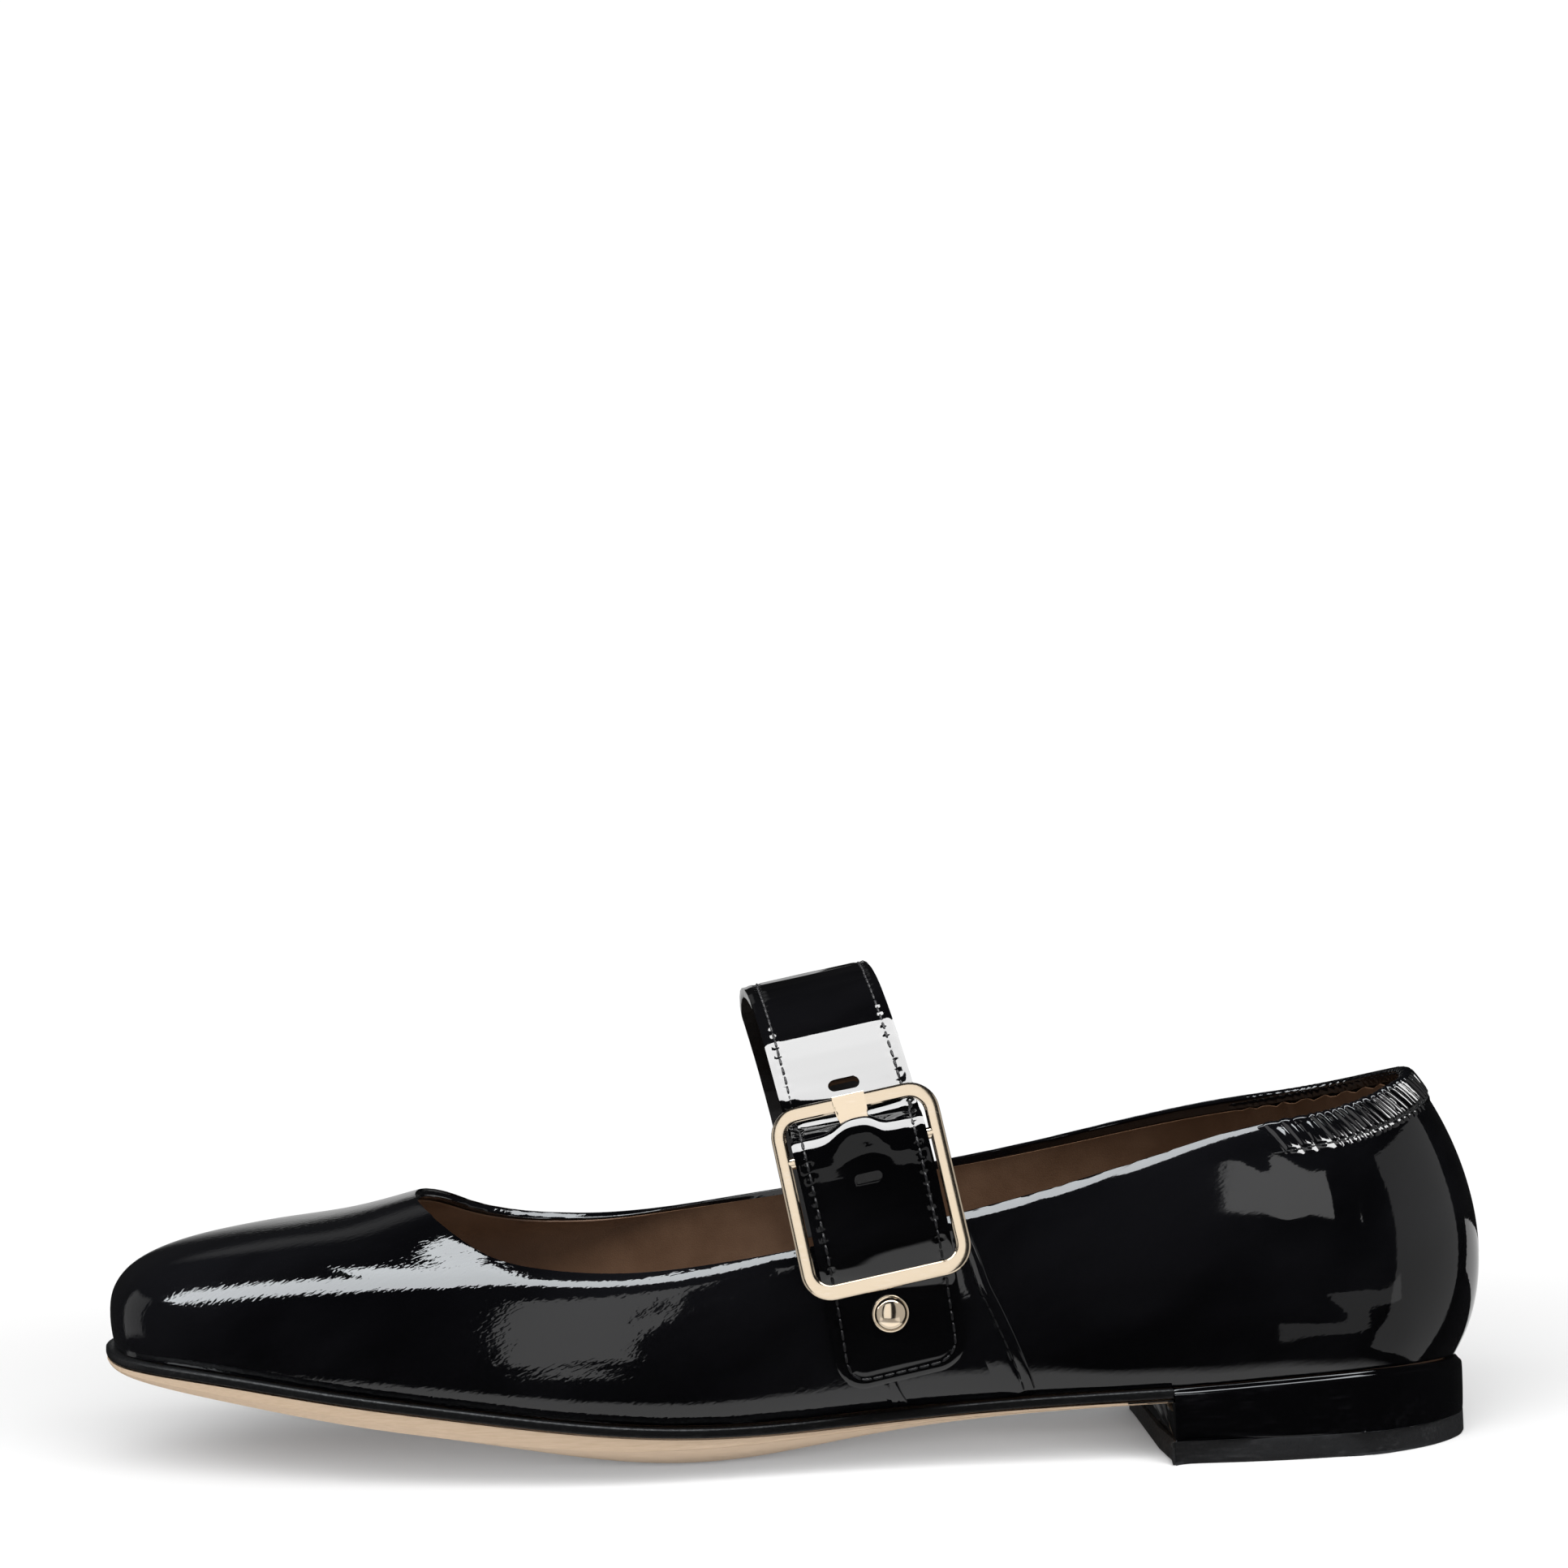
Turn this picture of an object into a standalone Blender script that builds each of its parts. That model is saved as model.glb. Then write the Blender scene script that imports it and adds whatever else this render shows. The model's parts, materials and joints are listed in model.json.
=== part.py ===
"""Ballet flat with a buckled strap, left shoe, EU 38.

The shoe stands on the floor z = 0 with its toe towards -X, its outer (lateral)
side towards -Y and its inner (medial) side towards +Y.  Lengths in the tables
are millimetres; `s` is the distance forward of the back of the heel.

One outline runs round the whole shoe: the edge of the sole.  Every piece that
follows it (outsole, rand, heel, insole, upper) is worked out from that outline
and from the height of the lasting edge above the floor.
"""

import math
from collections import namedtuple

import bmesh
import bpy
import numpy as np

MM = 0.001

# Driving dimensions, millimetres
HEEL_X = 124.8            # x of the back of the heel, so that the box is centred
AXIS_Y = 0.9              # y of the heel's centreline, for the same reason
GAP = 0.3                 # clearance between pieces that meet
WALL = 1.7                # upper and its lining together
UPPER_INSET = 1.1         # upper's foot, inside the edge of the sole
RAND_HEIGHT = 1.6
RAND_DEPTH = 3.3
SOLE_INSET = 0.2
INSOLE_THICKNESS = 2.4
INSOLE_INSET = 3.7
INSOLE_ROUND = 0.6
BREAST_S = 58.2           # front face of the heel
SEAT_RIM = 3.2            # width of the heel's rim round the sole
TOP_PIECE_HEIGHT = 4.1
HEEL_TAPER = 0.97         # heel's width at the floor over its width at the seat
CUT_LOW = 3.0             # heights between which the seat's cutters reach
CUT_HIGH = 32.0
CUT_BEYOND = 4.0          # how far a cutter stands out past the shoe's side
SIDE_STEPS = 44           # columns along each side of the shoe
WALL_STEPS = 12           # rows from the lasting edge to the topline
TURN_PULL = 0.45          # how far those rows gather at the turn of the wall
KICK_START = 0.72         # share of the wall's height where the topline's lift begins
SHARP = math.radians(40)  # edges bent more than this stay crisp

STRAP_WIDTH = 23.4
STRAP_THICKNESS = 1.8
STRAP_TILT = math.radians(11.0)
STRAP_FOOT_S = 104.2      # its centreline runs forward as it rises: s at the floor,
STRAP_SLOPE = 0.075       # run for each millimetre of height,
STRAP_SWEEP = 0.00124     # and run for its square
STRAP_STITCH_SHARE = 0.62 # stitch lines' distance apart over the strap's width
TAB_BOTTOM_Z = 17.0
TAB_TOP_Z = 33.0
TAB_CORNER = 5.5
TAB_STEPS = 5
STRAP_FREE_Z = 44.0       # below this the strap keeps clear of the upper's side
PRONG_HOLE_WIDTH = 5.9

BUCKLE_WIDTH = 29.8
BUCKLE_HEIGHT = 33.8
BUCKLE_BAR = 2.6
BUCKLE_THICKNESS = 2.0
BUCKLE_CORNER = 5.2
BUCKLE_BEVEL = 0.5
BUCKLE_S = 111.2
BUCKLE_Y = -39.75
BUCKLE_Z = 50.2
BUCKLE_LEAN = math.radians(10.5)
CENTRE_BAR_UP = 7.5
CENTRE_BAR_RADIUS = 1.0
PRONG_WIDTH = 5.1
PRONG_THICKNESS = 1.3
STUD_RADIUS = 3.3
STUD_HEIGHT = 1.3
STUD_Z = 28.2

# Edge of the sole and heights that follow it.
#   s          distance forward of the back of the heel
#   lateral_y  edge on the outer side        medial_y  edge on the inner side
#   edge_z     top of the outsole at the edge
#   dip        how far the middle of the footbed lies below its edge
#   thick      thickness of the outsole in the middle
#   side       thickness of the outsole at its edge
Edge = namedtuple("Edge", "s lateral_y medial_y edge_z dip thick side")
EDGES = [
    Edge(254.2, 10.5, 10.5, 19.8, 0.7, 2.9, 0.6),
    Edge(252.2, -0.5, 20.5, 19.7, 0.75, 2.95, 0.9),
    Edge(247.2, -11.5, 27.5, 19.4, 0.9, 3.1, 1.5),
    Edge(238.0, -20.3, 33.0, 18.8, 1.3, 3.6, 2.4),
    Edge(224.0, -28.6, 37.5, 17.7, 2.0, 4.2, 3.3),
    Edge(205.0, -35.9, 40.7, 15.4, 2.9, 4.7, 3.8),
    Edge(183.0, -39.7, 41.2, 12.6, 3.8, 4.9, 3.8),
    Edge(157.0, -40.2, 36.6, 9.3, 4.4, 5.0, 3.0),
    Edge(133.0, -35.8, 30.3, 7.9, 3.5, 4.4, 1.7),
    Edge(109.0, -32.2, 27.5, 9.1, 2.2, 3.2, 0.9),
    Edge(83.0, -30.9, 28.0, 10.6, 1.4, 2.7, 0.6),
    Edge(58.0, -30.3, 29.6, 11.4, 1.0, 2.5, 0.6),
    Edge(38.0, -29.4, 29.2, 12.4, 0.9, 2.4, 0.8),
    Edge(20.0, -25.0, 25.0, 12.9, 0.9, 2.4, 1.0),
    Edge(8.0, -16.6, 16.6, 12.6, 0.8, 2.4, 1.0),
    Edge(1.5, -7.2, 7.2, 12.1, 0.6, 2.4, 1.0),
    Edge(0.0, 0.0, 0.0, 11.9, 0.5, 2.4, 1.0),
]

# Topline of the upper, a row for each row of EDGES.
Rim = namedtuple("Rim", "s lateral_y lateral_z medial_y medial_z")
RIMS = [
    Rim(195.0, 3.0, 46.8, 3.0, 46.8),
    Rim(194.0, -9.0, 46.5, 14.0, 46.1),
    Rim(191.2, -18.5, 45.4, 23.5, 44.7),
    Rim(186.6, -25.8, 43.4, 29.4, 42.9),
    Rim(179.3, -31.8, 40.0, 33.8, 41.4),
    Rim(170.5, -35.0, 38.0, 36.2, 40.8),
    Rim(158.5, -36.4, 37.0, 37.3, 40.8),
    Rim(142.5, -36.5, 37.6, 36.8, 42.3),
    Rim(123.5, -35.1, 40.1, 35.0, 44.9),
    Rim(102.5, -33.3, 43.8, 33.0, 48.2),
    Rim(80.0, -31.4, 48.8, 31.0, 52.2),
    Rim(57.0, -29.5, 55.0, 28.6, 57.1),
    Rim(40.5, -27.0, 59.0, 26.1, 60.3),
    Rim(26.0, -22.9, 61.2, 22.7, 62.4),
    Rim(15.6, -16.6, 64.2, 16.8, 64.5),
    Rim(9.8, -8.8, 66.4, 9.0, 66.3),
    Rim(8.1, 0.0, 67.2, 0.0, 67.2),
]

# Shape of the wall between the two, as a rounded corner: the wall rises from the
# lasting edge towards the corner, turns, and runs on to the topline.
#   out, up  corner's place, out from the lasting edge and above it
#   square   2 for an elliptic turn, more for a squarer one
#   kick     how far the last stretch lifts at the topline
Turn = namedtuple("Turn", "out up square kick")
TURNS = [
    Turn(1.4, 18.5, 4.0, 2.0),
    Turn(1.5, 18.4, 3.9, 2.0),
    Turn(1.9, 18.1, 3.6, 1.8),
    Turn(2.5, 17.6, 3.1, 1.2),
    Turn(3.2, 17.3, 2.6, 0.6),
    Turn(3.8, 17.0, 2.3, 0.2),
    Turn(4.6, 16.5, 2.2, 0.0),
    Turn(5.0, 16.0, 2.2, 0.0),
    Turn(6.5, 17.0, 2.2, 0.0),
    Turn(8.0, 18.0, 2.2, 0.0),
    Turn(8.0, 20.0, 2.2, 0.0),
    Turn(7.5, 22.0, 2.2, 0.0),
    Turn(8.0, 23.0, 2.2, 0.0),
    Turn(9.2, 23.5, 2.2, 0.0),
    Turn(11.4, 24.0, 2.2, 0.0),
    Turn(13.4, 24.0, 2.2, 0.0),
    Turn(14.0, 24.0, 2.2, 0.0),
]

# Rounded profiles.  The sole's side is in shares of its thickness at the edge, the
# stud's in shares of its radius and height, the rest in millimetres.
Round = namedtuple("Round", "trim rise")
SOLE_SIDE = [Round(0.0, 0.45), Round(0.35, 0.80)]
RAND_FACE = [Round(0.25, 0.0), Round(0.0, 0.35), Round(0.0, RAND_HEIGHT - 0.35), Round(0.35, RAND_HEIGHT)]
HEEL_FOOT = [Round(0.5, 0.0), Round(0.1, 0.5)]
HEEL_RIM = [Round(0.0, -2.2), Round(0.25, -1.1), Round(0.8, -0.3), Round(1.5, 0.0)]
TOP_PIECE_SIDE = [Round(0.5, 0.0), Round(0.15, 0.4), Round(0.15, TOP_PIECE_HEIGHT - 0.2),
                  Round(0.4, TOP_PIECE_HEIGHT)]
STUD_DOME = [Round(1.0, 0.0), Round(1.0, 0.3), Round(0.86, 0.7), Round(0.5, 1.0)]

# Strap's centreline above the tab: over the centre bar, behind the top bar, over
# the instep and down inside the inner wall.
Bend = namedtuple("Bend", "y z")
STRAP_BENDS = [
    Bend(-40.9, 40.0), Bend(-41.2, 46.5), Bend(-41.3, 53.0), Bend(-40.8, 57.6),
    Bend(-39.5, 60.1), Bend(-36.3, 61.2), Bend(-34.0, 63.2), Bend(-33.7, 66.0),
    Bend(-31.6, 70.5),
    Bend(-26.8, 76.8), Bend(-20.0, 82.0), Bend(-11.0, 85.5), Bend(0.0, 86.7),
    Bend(10.5, 85.0), Bend(19.5, 80.8), Bend(26.5, 74.5), Bend(30.6, 66.5),
    Bend(31.3, 58.0), Bend(30.0, 50.0), Bend(29.2, 43.0), Bend(28.6, 37.0),
]
BEND_STEPS = 2            # strips between two bends
HOLE_BEND = 5             # the prong's hole starts at this bend, counted from the tab

# Prong's centreline, from the centre bar through the strap and over the top bar.
PRONG_BENDS = [
    Bend(-36.9, 59.2), Bend(-38.1, 60.7), Bend(-39.5, 61.8),
    Bend(-39.8, 63.2), Bend(-39.2, 64.9), Bend(-38.6, 66.8),
]

# Colours (linear red, green, blue), metallic, roughness
Finish = namedtuple("Finish", "colour metallic roughness")
FINISHES = {
    "upper": Finish((0.012, 0.012, 0.014), 0.0, 0.10),
    "strap": Finish((0.012, 0.012, 0.014), 0.0, 0.10),
    "rand": Finish((0.015, 0.015, 0.017), 0.0, 0.35),
    "outsole": Finish((0.56, 0.37, 0.22), 0.0, 0.60),
    "heel_block": Finish((0.010, 0.010, 0.012), 0.0, 0.15),
    "top_piece": Finish((0.035, 0.035, 0.038), 0.0, 0.80),
    "insole": Finish((0.40, 0.24, 0.14), 0.0, 0.55),
    "buckle": Finish((0.83, 0.66, 0.42), 1.0, 0.20),
    "prong": Finish((0.83, 0.66, 0.42), 1.0, 0.20),
    "stud": Finish((0.83, 0.66, 0.42), 1.0, 0.20),
}


# ---------------------------------------------------------------- outline

def periodic_spline(knots, values, period, at):
    """Smooth closed curve through `values` at `knots`, read at `at`."""
    count = len(knots)
    step = np.diff(np.append(knots, knots[0] + period))
    system = np.zeros((count, count))
    right = np.zeros((count, values.shape[1]))
    for i in range(count):
        before, after = step[i - 1], step[i]
        system[i, i - 1] += before
        system[i, i] += 2 * (before + after)
        system[i, (i + 1) % count] += after
        rise = (values[(i + 1) % count] - values[i]) / after
        fall = (values[i] - values[i - 1]) / before
        right[i] = 6 * (rise - fall)
    bend = np.linalg.solve(system, right)
    span = np.searchsorted(knots, at, side="right") - 1
    after = (span + 1) % count
    width = step[span][:, None]
    b = (at - knots[span])[:, None] / width
    a = 1 - b
    cubic = (a ** 3 - a) * bend[span] + (b ** 3 - b) * bend[after]
    return a * values[span] + b * values[after] + cubic * width ** 2 / 6


def open_curve(points, steps):
    """Points on a Catmull-Rom curve through `points`, `steps` to each span."""
    ends = [2 * points[0] - points[1]], [2 * points[-1] - points[-2]]
    p = np.concatenate([ends[0], points, ends[1]])
    out = []
    for i in range(1, len(p) - 2):
        for t in np.arange(steps) / steps:
            out.append(0.5 * (2 * p[i] + (p[i + 1] - p[i - 1]) * t
                              + (2 * p[i - 1] - 5 * p[i] + 4 * p[i + 1] - p[i + 2]) * t ** 2
                              + (3 * p[i] - p[i - 1] - 3 * p[i + 1] + p[i + 2]) * t ** 3))
    out.append(points[-1])
    return np.array(out)


def section_rows():
    """All columns of the three tables, for each side: lateral and medial."""
    sides = []
    for side in ("lateral", "medial"):
        rows = []
        for edge, rim, turn in zip(EDGES, RIMS, TURNS):
            edge_y = getattr(edge, side + "_y")
            rim_y = getattr(rim, side + "_y")
            rim_z = getattr(rim, side + "_z")
            rows.append((edge.s, edge_y, edge.edge_z, edge.dip, edge.thick, edge.side,
                         rim.s, rim_y, rim_z, *turn))
        sides.append(np.array(rows))
    return sides


def around(steps=SIDE_STEPS):
    """The tables read smoothly round the shoe: toe, lateral, heel, medial."""
    lateral, medial = section_rows()
    chord = [np.linalg.norm(np.diff(side[:, :2], axis=0), axis=1) for side in (lateral, medial)]
    half = np.concatenate([[0.0], np.cumsum(np.sqrt((chord[0] + chord[1]) / 2))])
    period = 2 * half[-1]
    knots = np.concatenate([half, period - half[-2:0:-1]])
    values = np.concatenate([lateral, medial[-2:0:-1]])
    at = np.arange(2 * steps) * period / (2 * steps)
    return periodic_spline(knots, values, period, at)


LOOP = around()
COUNT = len(LOOP)
(S, Y, EDGE_Z, DIP, THICK, SIDE, RIM_S, RIM_Y, RIM_Z, OUT, UP, SQUARE, KICK) = LOOP.T


def outward(points):
    """Unit vectors in plan, square to a closed loop of (s, y) points."""
    along = np.roll(points, -1, axis=0) - np.roll(points, 1, axis=0)
    normal = np.stack([along[:, 1], -along[:, 0]], axis=1)
    normal /= np.linalg.norm(normal, axis=1)[:, None]
    centre = points.mean(axis=0)
    return normal * np.sign(np.sum(normal * (points - centre)))


EDGE = np.stack([S, Y], axis=1)
NORMAL = outward(EDGE)
SPINE_TRIM = 0.86         # length of the middle line over the length of the shoe
TOP_SHARES = (0.66, 0.33)           # rings of the footbed, from middle line to edge
UNDER_SHARES = (0.33, 0.60, 0.82)   # rings of the underside, from edge to middle line


def inset(distance):
    """The sole's edge moved inwards by `distance`, in plan."""
    return EDGE - NORMAL * np.reshape(distance, (-1, 1))


def spine():
    """Middle line of the shoe, a point for each point of the edge."""
    partner = -np.arange(COUNT) % COUNT
    middle = (EDGE + EDGE[partner]) / 2
    s_mid = (S.max() + S.min()) / 2
    middle[:, 0] = s_mid + (middle[:, 0] - s_mid) * SPINE_TRIM
    return middle


SPINE = spine()


def ring(plan, z):
    """A closed loop of points from (s, y) in plan and heights."""
    return np.column_stack([plan, np.broadcast_to(z, COUNT)])


def towards_spine(plan, share):
    """`plan` moved towards the middle line; share 0 leaves it, 1 reaches it."""
    return plan + (SPINE - plan) * share


# ---------------------------------------------------------------- meshes

def to_world(points):
    """(s, y, z) in millimetres to Blender's metres."""
    points = np.asarray(points, float)
    flip = np.array([-1.0, 1.0, 1.0])
    shift = np.array([HEEL_X, AXIS_Y, 0.0])
    return (points * flip + shift) * MM


def new_object(name, bm, collection):
    """An object of `bm`, closed and with its faces outwards."""
    bmesh.ops.remove_doubles(bm, verts=bm.verts, dist=0.01 * MM)
    bmesh.ops.recalc_face_normals(bm, faces=bm.faces)
    mesh = bpy.data.meshes.new(name)
    bm.to_mesh(mesh)
    bm.free()
    obj = bpy.data.objects.new(name, mesh)
    collection.objects.link(obj)
    return obj


def bridge_rows(bm, rows, wrap):
    """Quads between rows of points; `wrap` joins each row's end to its start."""
    verts = [[bm.verts.new(p) for p in to_world(row)] for row in rows]
    for low, high in zip(verts, verts[1:]):
        last = len(low) if wrap else len(low) - 1
        for i in range(last):
            j = (i + 1) % len(low)
            bm.faces.new((low[i], low[j], high[j], high[i]))
    return verts


def pillow(name, rings, collection):
    """A solid of closed rings whose first and last rings lie on the spine."""
    bm = bmesh.new()
    bridge_rows(bm, rings, True)
    bmesh.ops.dissolve_degenerate(bm, dist=0.005 * MM, edges=bm.edges)
    return new_object(name, bm, collection)


def rail(name, sections, collection):
    """A bar through closed cross-sections, capped at both ends."""
    bm = bmesh.new()
    verts = bridge_rows(bm, sections, True)
    bm.faces.new(verts[0])
    bm.faces.new(verts[-1][::-1])
    return new_object(name, bm, collection)


def solidify(obj, thickness, offset):
    modifier = obj.modifiers.new("Wall", "SOLIDIFY")
    modifier.thickness = thickness * MM
    modifier.offset = offset
    modifier.use_even_offset = True


def cut(obj, cutter, operation="DIFFERENCE"):
    modifier = obj.modifiers.new("Cut", "BOOLEAN")
    modifier.operation = operation
    modifier.solver = "EXACT"
    modifier.object = cutter
    cutter.hide_render = True
    cutter.display_type = "WIRE"


# ---------------------------------------------------------------- bottom

def footbed_z(share):
    """Top of the outsole, `share` of the way from the edge to the spine."""
    return EDGE_Z - DIP * (1 - (1 - share) ** 2)


def underside_z(share):
    """Bottom of the outsole; the tread is planed flat at the floor."""
    middle = EDGE_Z - DIP - THICK
    edge = EDGE_Z - SIDE
    return np.maximum(middle + (edge - middle) * (1 - share) ** 2, 0.0)


def seat_loop():
    """Indices of the sole's edge that lie behind the breast, lateral first."""
    return np.nonzero(S < BREAST_S)[0]


def at_breast(values, first, second):
    """`values` read on the edge where it crosses the breast line."""
    t = (BREAST_S - S[first]) / (S[second] - S[first])
    return values[first] + (values[second] - values[first]) * t


def seat_arc(*columns):
    """Columns round the seat, ending exactly on the breast line."""
    inside = seat_loop()
    out = []
    for column in columns:
        start = at_breast(column, inside[0] - 1, inside[0])
        end = at_breast(column, inside[-1], inside[-1] + 1)
        out.append(np.concatenate([[start], column[inside], [end]]))
    return out


def outsole(parts, cutters):
    plan = inset(SOLE_INSET)
    tucked = inset(SOLE_INSET + SIDE)
    rings = [ring(SPINE, footbed_z(1))]
    for share in (*TOP_SHARES, 0.0):
        rings.append(ring(towards_spine(plan, share), footbed_z(share)))
    for trim, drop in SOLE_SIDE:
        rings.append(ring(inset(SOLE_INSET + trim * SIDE), EDGE_Z - drop * SIDE))
    rings.append(ring(tucked, underside_z(0.0)))
    for share in UNDER_SHARES:
        rings.append(ring(towards_spine(tucked, share), underside_z(share)))
    rings.append(ring(SPINE, underside_z(1)))
    sole = pillow("outsole", rings, parts)
    cut(sole, seat_rim_cutter(cutters))
    return sole


def seat_rim_cutter(cutters):
    """Horseshoe round the seat, which the heel's rim takes the place of."""
    s, y, ns, ny = seat_arc(S, Y, NORMAL[:, 0], NORMAL[:, 1])
    inner = SEAT_RIM + GAP
    corners = [(inner, CUT_LOW), (-CUT_BEYOND, CUT_LOW), (-CUT_BEYOND, CUT_HIGH), (inner, CUT_HIGH)]
    sections = []
    for i in range(len(s)):
        sections.append([(s[i] - ns[i] * d, y[i] - ny[i] * d, z) for d, z in corners])
    sections = np.array(sections)
    sections[0, :, 0] = sections[-1, :, 0] = BREAST_S + GAP
    return rail("cutter_seat_rim", sections, cutters)


def rand(parts):
    """Strip round the sole's edge, from breast to breast by way of the toe."""
    inside = seat_loop()
    order = np.concatenate([np.arange(inside[-1] + 1, COUNT), np.arange(0, inside[0])])
    end_s = BREAST_S + GAP
    sections = []
    for i in order:
        low = EDGE_Z[i] + GAP
        profile = [Round(RAND_DEPTH, 0.0), *RAND_FACE, Round(RAND_DEPTH, RAND_HEIGHT)]
        sections.append([(S[i] - NORMAL[i, 0] * trim, Y[i] - NORMAL[i, 1] * trim, low + rise)
                         for trim, rise in profile])
    sections = np.array(sections)
    for end, neighbour in ((0, 1), (-1, -2)):
        run = sections[neighbour] - sections[end]
        t = (end_s - sections[end][:, 0]) / run[:, 0]
        sections[end] += run * t[:, None]
    return rail("rand", sections, parts)


def heel_ring(s, y, ns, ny, distance, z, taper=1.0):
    """Seat arc moved in by `distance`, closed by the breast line."""
    heights = np.broadcast_to(z, len(s))
    arc = np.column_stack([s - ns * distance, (y - ny * distance) * taper, heights])
    arc[0, 0] = arc[-1, 0] = BREAST_S
    breast = []
    for share in (0.25, 0.5, 0.75):
        breast.append(arc[0] * share + arc[-1] * (1 - share))
    return np.concatenate([arc, breast])


def capped(name, rings, collection):
    """A solid through closed rings with flat ends."""
    bm = bmesh.new()
    verts = bridge_rows(bm, rings, True)
    bm.faces.new(verts[0])
    bm.faces.new(verts[-1][::-1])
    bmesh.ops.triangulate(bm, faces=[f for f in bm.faces if len(f.verts) > 4])
    return new_object(name, bm, collection)


def heel_block(parts, cutters):
    s, y, ns, ny, edge_z = seat_arc(S, Y, NORMAL[:, 0], NORMAL[:, 1], EDGE_Z)
    rim_z = edge_z + GAP + RAND_HEIGHT
    foot = TOP_PIECE_HEIGHT + GAP
    rings = [heel_ring(s, y, ns, ny, trim, foot + rise, HEEL_TAPER) for trim, rise in HEEL_FOOT]
    rings += [heel_ring(s, y, ns, ny, trim, rim_z + rise) for trim, rise in HEEL_RIM]
    block = capped("heel_block", rings, parts)
    cut(block, seat_core_cutter(cutters))
    return block


def seat_core_cutter(cutters):
    """Room for the sole's seat inside the heel's rim, open at the breast."""
    wall = inset(SEAT_RIM)
    tucked = inset(SOLE_INSET + SIDE)
    rings = [ring(SPINE, CUT_HIGH), ring(wall, CUT_HIGH)]
    rings.append(ring(wall, underside_z(UNDER_SHARES[0]) - GAP))
    for share in UNDER_SHARES:
        rings.append(ring(towards_spine(tucked, share), underside_z(share) - GAP))
    rings.append(ring(SPINE, underside_z(1) - GAP))
    return pillow("cutter_seat_core", rings, cutters)


def top_piece(parts):
    s, y, ns, ny = seat_arc(S, Y, NORMAL[:, 0], NORMAL[:, 1])
    rings = [heel_ring(s, y, ns, ny, trim, z, HEEL_TAPER) for trim, z in TOP_PIECE_SIDE]
    return capped("top_piece", rings, parts)


def insole(parts):
    plan = inset(INSOLE_INSET)
    soft = inset(INSOLE_INSET + INSOLE_ROUND)
    rings = [ring(SPINE, footbed_z(1) + GAP)]
    for share in (*TOP_SHARES, 0.0):
        rings.append(ring(towards_spine(plan, share), footbed_z(share) + GAP))
    rings.append(ring(plan, EDGE_Z + GAP + INSOLE_THICKNESS - INSOLE_ROUND))
    for share in (0.0, *reversed(TOP_SHARES)):
        rings.append(ring(towards_spine(soft, share), footbed_z(share) + GAP + INSOLE_THICKNESS))
    rings.append(ring(SPINE, footbed_z(1) + GAP + INSOLE_THICKNESS))
    return pillow("insole", rings, parts)


# ---------------------------------------------------------------- upper

def upper_foot():
    """Lasting edge of the upper, standing on the rand and the heel's rim."""
    return ring(inset(UPPER_INSET), EDGE_Z + 2 * GAP + RAND_HEIGHT)


def wall_lines(steps=WALL_STEPS):
    """The upper's outer face: for each column a line from foot to topline."""
    foot = upper_foot()
    corner = foot + np.column_stack([NORMAL * OUT[:, None], UP])
    rim = np.column_stack([RIM_S, RIM_Y, RIM_Z])
    fine = np.linspace(0, math.pi / 2, 90)
    lines = []
    for i in range(COUNT):
        rise = np.sin(fine) ** (2 / SQUARE[i])
        run = 1 - np.cos(fine) ** (2 / SQUARE[i])
        line = foot[i] + np.outer(rise, corner[i] - foot[i]) + np.outer(run, rim[i] - corner[i])
        length = np.concatenate([[0], np.cumsum(np.linalg.norm(np.diff(line, axis=0), axis=1))])
        share = length / length[-1]
        line[:, 2] += KICK[i] * np.clip((share - KICK_START) / (1 - KICK_START), 0, 1) ** 2
        gathered = share * (1 - TURN_PULL) + fine / fine[-1] * TURN_PULL
        even = np.linspace(0, 1, steps + 1)
        lines.append(np.column_stack([np.interp(even, gathered, line[:, k]) for k in range(3)]))
    return np.array(lines)


LINES = wall_lines()


def upper(parts):
    bm = bmesh.new()
    bridge_rows(bm, np.swapaxes(LINES, 0, 1), True)
    shell = new_object("upper", bm, parts)
    solidify(shell, WALL, -1.0)
    return shell


def side_y(s, z, lateral=True):
    """The upper's outer face at a height, on one side."""
    columns = range(COUNT // 2) if lateral else range(COUNT - 1, COUNT // 2, -1)
    crossing = []
    for i in columns:
        line = LINES[i]
        top = int(np.argmax(line[:, 2])) + 1
        reach = min(z, line[top - 1, 2])
        at = [np.interp(reach, line[:top, 2], line[:top, k]) for k in (0, 1)]
        crossing.append(at)
    crossing = np.array(crossing)[::-1]
    return float(np.interp(s, crossing[:, 0], crossing[:, 1]))


# ---------------------------------------------------------------- strap

def strap_centre_s(z):
    """Where the strap's centreline stands along the shoe at a height."""
    return STRAP_FOOT_S + STRAP_SLOPE * z + STRAP_SWEEP * z ** 2


def tab_share(z):
    """Width of the strap near the rounded end of its tab, over its full width."""
    lift = z - TAB_BOTTOM_Z
    if lift >= TAB_CORNER:
        return 1.0
    drop = TAB_CORNER - lift
    corner = TAB_CORNER - math.sqrt(TAB_CORNER ** 2 - drop ** 2)
    return 1.0 - 2 * corner / STRAP_WIDTH


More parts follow.
